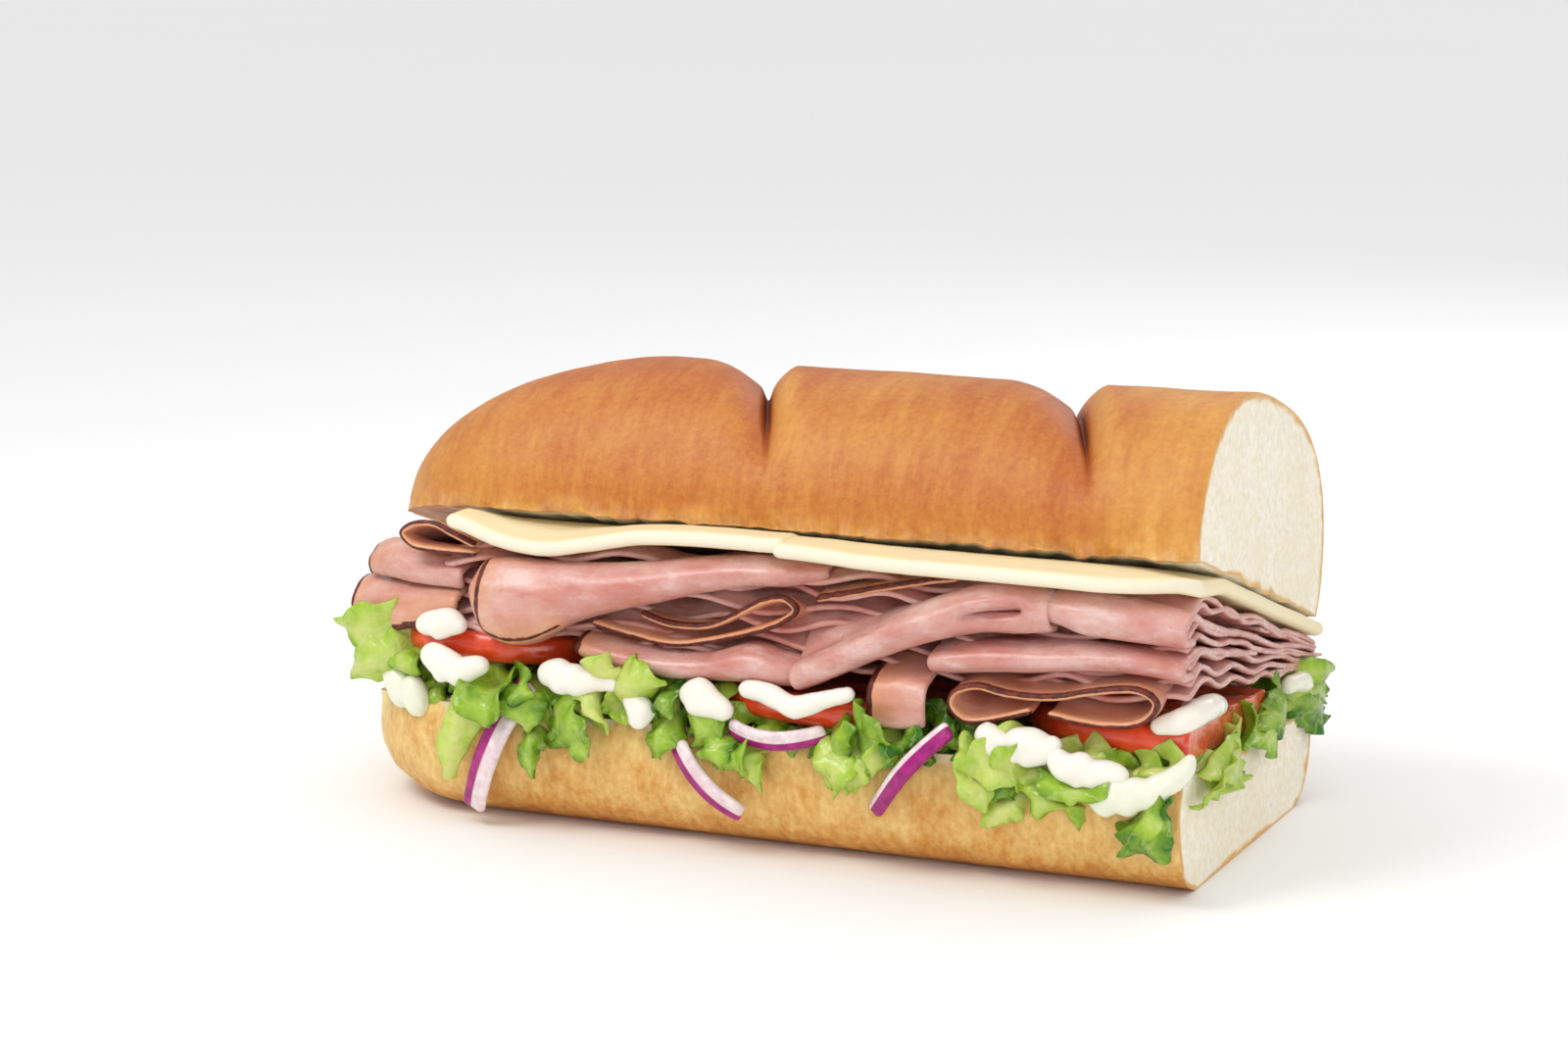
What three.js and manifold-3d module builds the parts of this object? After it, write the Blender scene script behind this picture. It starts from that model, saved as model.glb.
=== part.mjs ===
// A half submarine sandwich: a loaf baked with diagonal slashes, split lengthwise and cut across at one end,
// filled with lettuce, red onion, mayonnaise, tomato slices, folded ham and two slices of cheese.
// Millimetres, +Z up, +X towards the cut end, -Y towards the open front. The origin is on the resting face.
import * as THREE from "three";
import { mergeVertices } from "three/addons/utils/BufferGeometryUtils.js";
import Module from "manifold-3d";

const wasm = await Module();
wasm.setup();

// Driving dimensions
const CUT_X = 76; // plane of the knife cut across the loaf
const GAP = 0.3; // clearance between neighbouring pieces
const HAM_T = 1.5;
const CHEESE_T = 2.6;
const LEAF_T = 0.9;
const ONION_T = 2;
const TOMATO_T = 5;

// Top half of the loaf, in a section plane that leans back by TILT about its own foot
const TOP = { left: -78, tilt: 17.7, footY: -0.5, footZ: 42.5, half: 37.3, height: 31.6, round: 2.6 };
const TOP_END = { plan: 30, rise: 50 }; // lengths of the rounded end, in plan and up the crest
const SLASHES = { at: [-12.8, 43.3], slant: 0.43, depth: 5.4, before: 9, after: 7 };
// Bottom half of the loaf: half widths and heights of its wall, from the resting face to the split
const BASE = { left: -80, midY: -5, axisZ: 13, end: 31, front: 20, back: 15.5 };
const BASE_WALL = [[28, 0], [33, 2.2], [36, 6.5], [37.4, 12], [37.2, 16], [36, 19]];

// The space between the halves at a depth y: the split of the lower half and the split of the upper half
const lerp = (a, b, t) => a + (b - a) * t;
const clamp = (v, low = 0, high = 1) => Math.min(high, Math.max(low, v));
const ease = (low, high, v) => THREE.MathUtils.smoothstep(v, low, high);
const floorAt = (y) => lerp(BASE.front, BASE.back, clamp((y + 38) / 72));
const slope = Math.tan(THREE.MathUtils.degToRad(TOP.tilt));
const ceilingAt = (y) => TOP.footZ - slope * (Math.max(y, -37) - TOP.footY);
// Ham fills the band between the tomatoes and the cheese, which narrows towards the back
const hamLow = (y) => lerp(31.4, 22.6, clamp((y + 34) / 68));
const hamHigh = (y) => ceilingAt(y) - lerp(5.2, 4.8, clamp((y + 34) / 68));

// Helpers that turn formulas into closed meshes
const curve = (points) => {
  const spline = new THREE.SplineCurve(points.map(([x, z]) => new THREE.Vector2(x, z)));
  return (t) => spline.getPoint(clamp(t));
};
const steps = (count) => Array.from({ length: count + 1 }, (_, i) => i / count);

function geometryOf(vertices, triangles) {
  const geometry = new THREE.BufferGeometry();
  geometry.setAttribute("position", new THREE.Float32BufferAttribute(vertices.flatMap((v) => [v.x, v.y, v.z]), 3));
  geometry.setIndex(triangles);
  return geometry;
}

// Closed skin over rings of points: the rings run along the piece. A fan closes both end rings,
// or a strip from one side of the ring to the other where the piece is flat.
function loft(rings, flat = false) {
  const count = rings[0].length;
  const vertices = rings.flat();
  const triangles = [];
  for (let r = 0; r < rings.length - 1; r++)
    for (let i = 0; i < count; i++) {
      const [a, b] = [r * count + i, r * count + ((i + 1) % count)];
      triangles.push(a, b, b + count, a, b + count, a + count);
    }
  const face = (first, a, b, c) => triangles.push(...(first ? [a, c, b] : [a, b, c]));
  [[0, true], [rings.length - 1, false]].forEach(([r, first]) => {
    const at = (i) => r * count + (i % count);
    if (flat) {
      for (let i = 0; i < count / 2 - 1; i++) {
        face(first, at(i), at(i + 1), at(count - 2 - i));
        face(first, at(i), at(count - 2 - i), at(count - 1 - i));
      }
      return;
    }
    const middle = rings[r].reduce((sum, p) => sum.add(p), new THREE.Vector3()).divideScalar(count);
    const hub = vertices.push(middle) - 1;
    for (let i = 0; i < count; i++) face(first, hub, at(i), at(i + 1));
  });
  return geometryOf(vertices, triangles);
}

// Slab of even thickness about a stretch of a surface place(u, v): a front sheet, a back sheet and the edge between.
// A slab can be grown on all sides, to be the room that the piece takes.
function slab(place, [u0, u1, nu], [v0, v1, nv], thickness, grow) {
  const at = (u, v) => new THREE.Vector3(...place(u, v));
  const step = 0.004;
  const outwards = (t) => (t === 1) - (t === 0);
  const rings = steps(nu).map((s) => {
    const u = lerp(u0, u1, s);
    const near = [];
    const far = [];
    for (const t of steps(nv)) {
      const v = lerp(v0, v1, t);
      const along = at(Math.min(u + step, 1), v).sub(at(Math.max(u - step, 0), v)).normalize();
      const across = at(u, Math.min(v + step, 1)).sub(at(u, Math.max(v - step, 0))).normalize();
      const half = (typeof thickness === "function" ? thickness(v) : thickness) / 2;
      const offset = along.clone().cross(across).normalize().multiplyScalar(half + grow);
      const point = at(u, v).addScaledVector(along, grow * outwards(s)).addScaledVector(across, grow * outwards(t));
      near.push(point.clone().add(offset));
      far.unshift(point.sub(offset));
    }
    return near.concat(far);
  });
  return loft(rings, true);
}

function solid(geometry) {
  const bare = geometry.clone();
  for (const name of ["normal", "uv"]) bare.deleteAttribute(name);
  const merged = mergeVertices(bare, 1e-4);
  const mesh = new wasm.Mesh({
    numProp: 3,
    vertProperties: merged.attributes.position.array,
    triVerts: new Uint32Array(merged.index.array),
  });
  const made = new wasm.Manifold(mesh);
  if (made.volume() > 0) return made;
  mesh.triVerts.reverse();
  return new wasm.Manifold(mesh);
}

const largest = (shape) => shape.decompose().reduce((a, b) => (a.volume() >= b.volume() ? a : b));

// Pieces in the order that they are laid: a later piece makes room for the earlier ones that it meets.
const sandwich = new THREE.Group();
const laid = [];

function meets(a, b) {
  const [p, q] = [a.boundingBox(), b.boundingBox()];
  return [0, 1, 2].every((i) => p.min[i] <= q.max[i] && q.min[i] <= p.max[i]);
}

function meshOf(shape) {
  const mesh = shape.getMesh();
  const geometry = new THREE.BufferGeometry();
  geometry.setAttribute("position", new THREE.BufferAttribute(new Float32Array(mesh.vertProperties), 3));
  geometry.setIndex(new THREE.BufferAttribute(new Uint32Array(mesh.triVerts), 1));
  return geometry;
}

function lay(name, shape, clearance, material) {
  const whole = shape.volume();
  for (const room of laid) if (meets(shape, room)) shape = shape.subtract(room);
  if (shape.volume() < whole - 0.001) shape = largest(largest(shape).simplify(0.08));
  laid.push(clearance);
  const geometry = meshOf(largest(solid(meshOf(shape))));
  geometry.computeVertexNormals();
  const piece = new THREE.Mesh(geometry, material);
  piece.name = name;
  sandwich.add(piece);
}

const material = (color, roughness) => new THREE.MeshStandardMaterial({ color, roughness, metalness: 0 });
const CRUST = material(0xd99a57, 0.6);
const CHEESE = material(0xf3e6bd, 0.45);
const HAM = material(0xdba094, 0.4);
const TOMATO = material(0xc8402a, 0.3);
const ONION = material(0xa02a68, 0.35);
const MAYONNAISE = material(0xf4f0e2, 0.25);
const LETTUCE = material(0x86b53c, 0.45);

// Slice or strip as one slab. The room that it takes is joined from single steps, so that a fold may lie on itself.
const sheet = (place, nu, nv, thickness) => solid(slab(place, [0, 1, nu], [0, 1, nv], thickness, 0));

function roomOf(place, nu, nv, thickness) {
  const spans = (n) => steps(n).slice(1).map((end, i) => [i / n, end, 1]);
  const cells = spans(nu).flatMap((us) => spans(nv).map((vs) => solid(slab(place, us, vs, thickness, GAP))));
  return cells.reduce((a, b) => a.add(b));
}

function laySheet(name, place, nu, nv, thickness, finish) {
  lay(name, sheet(place, nu, nv, thickness), roomOf(place, nu, nv, thickness), finish);
}

// Upper half of the loaf
function topSection(s, grow) {
  const plan = Math.sqrt(1 - (1 - clamp((s - TOP.left) / TOP_END.plan, 0.015)) ** 2);
  const rise = (1 - (1 - clamp((s - TOP.left) / TOP_END.rise, 0.004)) ** 2) ** 0.62;
  const [half, height] = [TOP.half * plan + grow, TOP.height * rise + grow];
  const slashed = SLASHES.at.map((at) => clamp(1 - Math.abs(s - at) / (s < at ? SLASHES.before : SLASHES.after)) ** 1.8);
  const lean = THREE.MathUtils.degToRad(TOP.tilt);
  const skew = SLASHES.slant * ease(-66, -26, s) * (1 - ease(46, CUT_X, s));
  const place = (y, z) => {
    const [worldY, worldZ] = [TOP.footY + y * Math.cos(lean) + z * Math.sin(lean), TOP.footZ - y * Math.sin(lean) + z * Math.cos(lean)];
    return new THREE.Vector3(s - skew * worldY, worldY, worldZ);
  };
  const arch = steps(22).map((t) => {
    const angle = Math.PI * t;
    const power = 2 / TOP.round;
    const z = height * Math.sin(angle) ** power;
    const tuck = 1 - 0.03 * clamp(1 - z / 7) ** 2;
    const y = -half * Math.sign(Math.cos(angle)) * Math.abs(Math.cos(angle)) ** power * tuck;
    const cut = SLASHES.depth * Math.max(...slashed) * ease(0.2, 0.8, z / TOP.height);
    const inwards = 1 - cut / Math.hypot(y, z - 8);
    return place(y * inwards, grow ? z - grow : 8 + (z - 8) * inwards);
  });
  const split = steps(6).slice(1, -1).map((t) => place(half * 0.97 * (1 - 2 * t), -grow));
  return [...arch, ...split];
}

function topStations() {
  const end = [0, 0.4, 1.2, 2.8, 5, 8, 12, 17, 23, 30].map((d) => TOP.left + d);
  const lobes = [-40, -32, -26];
  const slashes = SLASHES.at.flatMap((at) => [-8, -5, -2.5, -1, 0, 1, 2.5, 5].map((d) => at + d));
  return [...end, ...lobes, ...slashes, 2, 12, 22, 30, 56, 64, 70, CUT_X];
}

const topLoaf = (grow) => solid(loft(topStations().sort((a, b) => a - b).map((s) => topSection(s, grow))));

// Lower half of the loaf
function baseSection(s, grow) {
  const scale = (1 - (1 - clamp((s - BASE.left) / BASE.end, 0.012)) ** 2.2) ** (1 / 2.2);
  const wall = curve(BASE_WALL);
  const highest = BASE_WALL.at(-1)[1];
  const place = (y, z) =>
    new THREE.Vector3(s, BASE.midY + y * scale, BASE.axisZ + (z - BASE.axisZ) * scale);
  const side = (sign, top) => steps(10).map((t) => {
    const p = wall(t);
    return place(sign * (p.x + grow), (p.y / highest) * top + (t > 0.9 ? grow : 0));
  });
  const back = side(1, BASE.back);
  const front = side(-1, BASE.front).reverse();
  const split = steps(6).slice(1, -1).map((t) => place(lerp(-35, 35, t), lerp(BASE.front, BASE.back, t) + grow));
  const rest = steps(5).slice(1, -1).map((t) => place(lerp(27, -27, t), 0));
  return [...split, ...back.reverse(), ...rest, ...front.reverse()];
}

const baseStations = [0, 0.3, 1, 2.4, 4.5, 7.5, 11.5, 17, 24, 31, 50, 70, 90, 110, 130].map((d) => BASE.left + d);
const baseLoaf = (grow) => solid(loft([...baseStations, CUT_X].map((s) => baseSection(s, grow))));

// Towards the back, slices keep within the rounded end of the loaf
const inEnd = (x, y) => (x < -36 ? -36 + (x + 36) * Math.sqrt(1 - clamp(y / 41) ** 2) : x);

// Every ham slice settles from its height at the front into its own share of the ham band inside
const settle = (z, y, share) => lerp(z, lerp(hamLow(y), hamHigh(y), share), ease(-42, -28, y));

const TAIL_Y = -1; // where a slice that hangs over the front ends inside

// Ham slice that hangs over the front: it comes forward at its height, turns down, and may roll back under.
// Each station is [x, top, low, front y].
function drape({ stations, roll, share }) {
  const across = [1, 2, 3].map((i) => curve(stations.map((s) => [s[0], s[i]])));
  return (u, v) => {
    const [top, low, front] = across.map((c) => c(u).y);
    const tail = [0, 0.36, 0.63, 0.82].map((t) => {
      const y = lerp(TAIL_Y, front + 4.6, t);
      return [y, settle(top, y, share)];
    });
    const turn = [[front + 4.6, top], [front + 1, lerp(top, low, 0.22)], [front, lerp(top, low, 0.55)]];
    const foot = roll ? [[front + 1.4, lerp(top, low, 0.9)], [front + 4.4, low]] : [[front + 0.4, low]];
    const p = curve([...tail, ...turn, ...foot])(v);
    return [across[0](u).x, p.x, p.y];
  };
}

// Ham slice folded so that its rind shows at the front: the folded outline runs back into its share of the band.
function fold({ outline, front, back, band }) {
  const path = curve(outline);
  const heights = outline.map((p) => p[1]);
  const [least, most] = [Math.min(...heights), Math.max(...heights)];
  return (u, v) => {
    const p = path(u);
    const y = lerp(front, back, v);
    return [inEnd(p.x, y), y, settle(p.y, y, lerp(band[0], band[1], (p.y - least) / (most - least)))];
  };
}

// A folded slice is pressed thinner inside, where its share of the band is less than its height at the front
function thinning({ outline, front, back, band }) {
  const heights = outline.map((p) => p[1]);
  const height = Math.max(...heights) - Math.min(...heights);
  return (v) => {
    const y = lerp(front, back, v);
    const room = (hamHigh(y) - hamLow(y)) * (band[1] - band[0]);
    return HAM_T * lerp(1, clamp(room / height, 0.42, 1), ease(-42, -28, y));
  };
}
const tapering = (v) => HAM_T * lerp(0.65, 1, clamp(v * 3));

const DRAPES = {
  ham_front_roll: {
    stations: [[-48, 42.6, 37.6, -43.4], [-46.4, 44.4, 34, -44.8], [-43.6, 45, 32.2, -45.4], [-39.6, 45.2, 31.8, -45.6],
      [-35, 45.2, 33.2, -45.4], [-29.6, 45.4, 36.8, -45], [-22, 46, 39.4, -44.6], [-14, 46.8, 41.4, -44], [-6, 48, 43.6, -43.4],
      [2, 48.6, 45.2, -42.8], [8, 48.6, 45.4, -42.4]],
    roll: true, share: 0.7, nu: 12,
  },
  ham_middle_roll: {
    stations: [[11.4, 33.4, 29, -44.4], [16, 35.6, 31, -45], [22, 38.8, 33.8, -45], [28, 42, 36.6, -44.8],
      [35, 45, 39.2, -44.6], [42, 47.2, 40.8, -44], [48, 48, 41.2, -43.4], [53.4, 47.4, 41.8, -42.6]],
    roll: true, share: 0.67, nu: 9,
  },
  ham_right_roll: {
    stations: [[55.6, 47.6, 43, -42.4], [60, 47.6, 42, -42.8], [68, 46.8, 41.4, -42.2], [75.6, 45, 40.8, -41]],
    roll: true, share: 0.72, nu: 5,
  },
  ham_right_face: {
    stations: [[34.6, 37, 33.8, -42.8], [38, 37.6, 34.2, -43.2], [44, 38.4, 34.8, -43], [53, 39, 35.4, -42.8],
      [60, 39.4, 36.2, -42.4], [68, 39.4, 36.4, -41.8], [75.4, 38.6, 35.4, -40.6]],
    roll: true, share: 0.46, nu: 8,
  },
  ham_middle_face: {
    stations: [[-29, 33.2, 30.6, -42], [-23, 32.8, 29.6, -43], [-13, 31.8, 28.9, -43.4], [-5, 32.4, 29.1, -43.4],
      [2, 34.4, 29.3, -43.4], [7.6, 33.2, 29.3, -43.4]],
    roll: true, share: 0.05, nu: 8,
  },
  ham_flap: {
    stations: [[24.6, 32.8, 25, -44], [29, 33, 25, -44.6], [33.4, 32.6, 25.4, -44.4]],
    roll: false, share: 0.24, nu: 4,
  },
  ham_left_flap: {
    stations: [[-76, 37.6, 31.6, -34], [-72, 38.2, 30.4, -36], [-64, 38.4, 32, -38.4], [-53.6, 38.8, 35.4, -40]],
    roll: false, share: 0.36, nu: 6,
  },
  ham_left_tongue: {
    stations: [[-73.6, 43, 39.8, -32.4], [-70, 44.6, 40.2, -34.6], [-66.6, 44.4, 40.2, -36], [-62, 43.2, 40, -37.4],
      [-53, 43, 40, -39]],
    roll: false, share: 0.6, nu: 7,
  },
};

const FOLDS = {
  ham_left_curl: {
    outline: [[-50, 47.6], [-53.4, 49], [-57, 50.6], [-61, 50.4], [-63.6, 48.4], [-61.4, 46.3], [-56, 45.7], [-50, 45.7]],
    front: -39.4, back: 0, band: [0.84, 0.96], nu: 13,
  },
  ham_middle_curl: {
    outline: [[-17, 38.6], [-11.6, 37.4], [-5, 37.8], [0, 40], [4.2, 42.4], [8, 43.3], [10.2, 41.6], [8, 39.6], [2.8, 37.4],
      [-5, 34.9], [-12, 33.9], [-19, 34.8], [-26, 36]],
    front: -41, back: -2, band: [0.23, 0.48], nu: 20,
  },
  ham_right_curl: {
    outline: [[55, 28.9], [61, 28.2], [67.4, 28.4], [71, 30.2], [71.8, 32.4], [68.4, 33.9], [62, 33.1], [55, 31.6], [48, 31.4],
      [42.4, 32.2], [38.8, 30.9], [38.2, 28.6], [41, 26.8], [46, 27.6], [51, 29]],
    front: -43, back: -6, band: [0, 0.26], nu: 24,
  },
  ham_top_slice: {
    outline: [[14, 43.4], [20, 44.8], [27, 46.6], [33, 48], [37.4, 48.8]],
    front: -40, back: 0, band: [0.87, 0.95], nu: 5,
  },
  ham_back_lower: {
    outline: [[-66, 24], [-56, 26.4], [-46, 24.6], [-36, 23.2], [-22, 25.4], [-6, 23.4], [8, 25.6], [24, 23.8], [40, 25.8],
      [58, 23.6], [CUT_X - 0.4, 24.6]],
    front: 3, back: 36, band: [0.02, 0.22], nu: 14,
  },
  ham_back_middle: {
    outline: [[-70, 29], [-58, 27.4], [-44, 28.8], [-30, 27.2], [-14, 29.2], [4, 27.4], [22, 29.4], [40, 27.8], [58, 29.6],
      [CUT_X, 28]],
    front: 2, back: 37.4, band: [0.44, 0.6], nu: 13,
  },
  ham_back_upper: {
    outline: [[-62, 31], [-48, 32.6], [-34, 31], [-18, 33], [-2, 31.2], [16, 33.2], [34, 31.4], [52, 33], [CUT_X - 0.8, 31.8]],
    front: 2.6, back: 36.6, band: [0.82, 0.96], nu: 12,
  },
};

// Cheese slice under the upper split, its front edge drooping past the bread as the sag along it says.
// Towards its far end the front edge may draw back by a corner.
function cheese({ from, to, sag, front, back, corner }) {
  const drop = curve(sag);
  return (u, v) => {
    const edge = front + corner * clamp((u - 0.76) / 0.24) ** 2;
    const y = lerp(edge, back, v);
    const x = inEnd(lerp(from, to, u), y);
    const under = ceilingAt(y) - 0.8 - CHEESE_T / 2;
    return [x, y, under - drop(u).y * (1 - ease(0, 16, y - edge))];
  };
}

const CHEESES = {
  cheese_right: {
    from: 8.4, to: CUT_X, front: -43, back: 34, corner: 8,
    sag: [[0, 0.4], [0.2, 0.4], [0.4, 0.2], [0.6, 0.3], [0.8, 1.2], [1, 2.2]],
  },
  cheese_left: {
    from: -52, to: 7.6, front: -42, back: 34.6, corner: 0,
    sag: [[0, 0.3], [0.14, 2.8], [0.28, 3.8], [0.43, 2.4], [0.57, 0.6], [0.71, 0.1], [0.86, 0], [1, 0]],
  },
};

// Tomato slice: a disc with rounded skin, tipped a little, cut off at the knife plane
function tomato({ x, y, z, radius, tip }, grow) {
  const half = TOMATO_T / 2 + grow;
  const profile = steps(2).map((t) => {
    const angle = Math.PI * (t - 0.5);
    return new THREE.Vector2(radius + grow - 1.8 * (1 - Math.cos(angle)), half * Math.sin(angle));
  });
  const outline = [new THREE.Vector2(0, -half), ...profile, new THREE.Vector2(0, half)];
  const disc = new THREE.LatheGeometry(outline, 18);
  disc.rotateX(Math.PI / 2);
  disc.rotateX(tip[0]);
  disc.rotateY(tip[1]);
  disc.translate(x, y, z);
  const knife = new THREE.BoxGeometry(60, 120, 60);
  knife.translate(CUT_X + 30, 0, z);
  return solid(disc).subtract(solid(knife));
}

const TOMATOES = {
  tomato_left: { x: -50.4, y: -20, z: 28, radius: 21, tip: [-0.1, 0.03] },
  tomato_middle: { x: 12, y: -18, z: 23.6, radius: 25, tip: [-0.06, 0.05] },
  tomato_right: { x: 66, y: -16, z: 23.8, radius: 24, tip: [-0.06, 0.02] },
  tomato_back_left: { x: -18, y: 15, z: 21.4, radius: 19, tip: [-0.1, 0] },
  tomato_back_right: { x: 34, y: 17.6, z: 21.2, radius: 16, tip: [-0.1, 0] },
};

// Onion strip: a curved bar hanging from its root to its tip, bowed in front of the crust
function onion({ root, tip, bow, width }) {
  const middle = [0, 1, 2].map((i) => (root[i] + tip[i]) / 2 + bow[i]);
  const line = new THREE.QuadraticBezierCurve3(new THREE.Vector3(...root), new THREE.Vector3(...middle), new THREE.Vector3(...tip));
  return (u, v) => {
    const p = line.getPoint(u);
    const side = (v - 0.5) * width;
    const along = line.getTangent(u);
    return [p.x + side * along.z, p.y + side * 0.35, p.z - side * along.x];
  };
}

const ONIONS = {
  onion_left: { root: [-38, -43, 24.6], tip: [-48, -43.6, 3.6], bow: [-1.6, -4.6, 0.6], width: 5 },
  onion_middle: { root: [-9, -44.8, 17.6], tip: [1.4, -44.2, 7.6], bow: [-0.6, -3.4, -1], width: 3.8 },
  onion_arc: { root: [0.4, -43.8, 21.6], tip: [16, -43.8, 22], bow: [0, -4.4, -2.2], width: 3.4 },
  onion_right: { root: [38.4, -45.8, 25], tip: [26, -44.6, 10.8], bow: [-1, -4, 0.6], width: 3.2 },
};

// Mayonnaise blob: balls [x, y, z, radius] run together
function blob(balls, grow) {
  const round = balls.map(([x, y, z, r]) => {
    const ball = new THREE.IcosahedronGeometry(r + grow, 1);
    ball.scale(1, 0.9, 0.9);
    ball.translate(x, y, z);
    return solid(ball);
  });
  return round.slice(1).map((ball, i) => wasm.Manifold.hull([round[i], ball])).reduce((a, b) => a.add(b));
}

const BLOBS = {
  mayo_far_left: [
    [-66.4, -37.8, 22.8, 2.1], [-64.6, -38.6, 20.2, 2.2], [-61.6, -39.8, 21.4, 1.8], [-60.4, -40.4, 19.4, 1.9],
  ],
  mayo_left: [
    [-56, -43, 28.2, 2], [-53.4, -43.8, 27.2, 2.4], [-50.4, -44.4, 26, 1.8], [-46.8, -43.8, 27.4, 1.5],
  ],
  mayo_tomato_left: [[-58.4, -41, 33, 1.5], [-55.6, -41.6, 33.6, 1.9], [-52.2, -42, 34.2, 1.8]],
  mayo_centre_left: [
    [-33.2, -43.8, 27.2, 1.9], [-30.6, -44.2, 27.4, 2.2], [-27.6, -44.6, 26.8, 1.9], [-22, -44.4, 27.2, 1.4],
  ],
  mayo_drop: [[-17.2, -44.8, 24.4, 1.8], [-16, -45, 22.4, 1.8]],
  mayo_centre: [[-7, -44.2, 26.4, 2], [-4.6, -44.4, 26.2, 2.2], [-1.4, -44.6, 24.8, 1.8]],
  mayo_tomato_middle: [
    [3, -44, 27.6, 1.4], [7.4, -44.8, 27, 1.6], [11.8, -45.4, 25.8, 1.6], [16, -44.8, 27, 1.4],
    [20.6, -44.4, 28.4, 1.2],
  ],
  mayo_right: [
    [45.6, -44.8, 24.4, 1.8], [47.6, -45.2, 23.4, 1.8], [51, -45, 24.4, 2], [55, -45, 24.6, 1.6],
  ],
  mayo_right_low: [
    [57.6, -45.4, 22.6, 1.5], [59.8, -45.4, 22.4, 1.7], [63.6, -45.4, 21.8, 1.7], [68.2, -44.8, 21.4, 1.3],
  ],
  mayo_corner: [
    [64, -45.4, 17.2, 1.8], [66.6, -45.2, 18.4, 1.8], [70, -45, 18.6, 1.8], [74, -43.8, 19.6, 1.8],
    [76.8, -41.2, 22, 1.4],
  ],
  mayo_cut: [
    [72.6, -39.4, 28.2, 1.6], [75.8, -37, 29, 1.8], [76.8, -33, 29.4, 1.8], [76.6, -28.6, 29, 1.6],
    [76.4, -24, 28.2, 1.3],
  ],
};

// Lettuce heap: a core over the lower split, with the shreds that show fused to it
// Each shred is [root x, root y, way it points in degrees, length, width, how far it hangs]
function shred([x, y, heading, length, width, hang], index) {
  const way = THREE.MathUtils.degToRad(heading);
  const [dx, dy] = [Math.sin(way), -Math.cos(way)];
  const root = floorAt(y) + 2.6;
  return (u, v) => {
    const out = length * (hang > 0.5 ? Math.sin((u * Math.PI) / 2) : u);
    const down = hang * length * u ** 1.7;
    const side = (v - 0.5) * width * (1 - 0.35 * u);
    const wave = 0.9 * Math.sin(5 * u + 2.4 * v + index);
    return [x + dx * out * 0.6 - dy * side, y + dy * out * 0.6 + dx * side, root - down + wave];
  };
}

const SHREDS = [
  [-63, -19, -62, 28, 11, 0.04], [-57, -26, -50, 22, 9, 0.1], [72, -28, 80, 15, 9, 0.7], [72, -12, 88, 12, 9, 0.6],
  [72, 6, 94, 12, 9, 0.4], [71, 20, 102, 13, 9, 0.2], [52, 30, 176, 14, 9, 0.4], [30, 30, 186, 15, 9, 0.5],
  [8, 30, 174, 15, 9, 0.4], [-14, 30, 184, 15, 9, 0.5], [-36, 29, 188, 15, 9, 0.5], [-56, 25, 206, 15, 9, 0.4],
  [-68, 8, 262, 16, 9, 0.3],
];

// Leaf that hangs over the front of the lower half: [root x, tip x, tip z, width]
function frontLeaf([x0, x1, tip, width], index) {
  const path = curve([[-27, 21.2], [-40.2, 21.7], [-43, 19.6], [-43.8, lerp(19.6, tip, 0.5)], [-44.2, tip]]);
  return (u, v) => {
    const p = path(u);
    const side = (v - 0.5) * width * (1 - 0.45 * u ** 3);
    const wave = 0.35 * Math.sin(7 * u + 3 * v + index) * clamp(3 * u - 1.6);
    return [lerp(x0, x1, u) + side, p.x - Math.abs(wave), p.y];
  };
}

const FRONT_LEAVES = [
  [-57, -56, 14, 6], [-50.4, -52, 8.4, 6], [-37, -36.6, 9.4, 5], [-31, -27, 13, 7], [-24, -22.6, 17, 6], [-12.6, -13, 14, 5],
  [5, 6.6, 11.6, 7], [20, 20.4, 12.4, 8], [31.4, 33, 17, 6], [42.6, 44.6, 12.6, 6], [50, 47, 10.6, 6], [57, 55, 12.6, 8],
  [69.6, 73.4, 8.4, 8],
];

function lettuce() {
  const edge = (u) => clamp((u * 150 + 4) / 30) ** 0.5;
  const core = (u, v) => {
    const half = 34 * edge(u);
    const y = lerp(-half - 2, half - 2, v);
    const bump = 0.3 * Math.sin(u * 40) * Math.cos(v * 17);
    return [lerp(-74, CUT_X - 1.4, u), y, floorAt(y) + 2 + bump];
  };
  const shreds = SHREDS.map((s, i) => sheet(shred(s, i), 3, 1, LEAF_T));
  const leaves = FRONT_LEAVES.map((l, i) => sheet(frontLeaf(l, i), 5, 1, LEAF_T));
  return [...shreds, ...leaves].reduce((heap, leaf) => heap.add(leaf), sheet(core, 8, 4, 2.4));
}

// The pieces, from the bread inwards
lay("bread_top", topLoaf(0), topLoaf(GAP), CRUST);
lay("bread_bottom", baseLoaf(0), baseLoaf(GAP), CRUST);
for (const [name, c] of Object.entries(CHEESES)) laySheet(name, cheese(c), 8, 6, CHEESE_T, CHEESE);
for (const [name, d] of Object.entries(DRAPES)) laySheet(name, drape(d), d.nu, 9, tapering, HAM);
for (const [name, f] of Object.entries(FOLDS)) laySheet(name, fold(f), f.nu, 3, thinning(f), HAM);
for (const [name, t] of Object.entries(TOMATOES)) lay(name, tomato(t, 0), tomato(t, GAP), TOMATO);
for (const [name, o] of Object.entries(ONIONS)) laySheet(name, onion(o), 9, 3, ONION_T, ONION);
for (const [name, balls] of Object.entries(BLOBS)) lay(name, blob(balls, 0), blob(balls, GAP), MAYONNAISE);
lay("lettuce", lettuce(), null, LETTUCE);

export default sandwich;
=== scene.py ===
# Looks of a half submarine sandwich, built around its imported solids.
# Sizes are in millimetres until a mesh is made. +X points to the knife cut, -Y to the open front.
import math

import bpy
import numpy as np
from mathutils import Matrix


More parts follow.
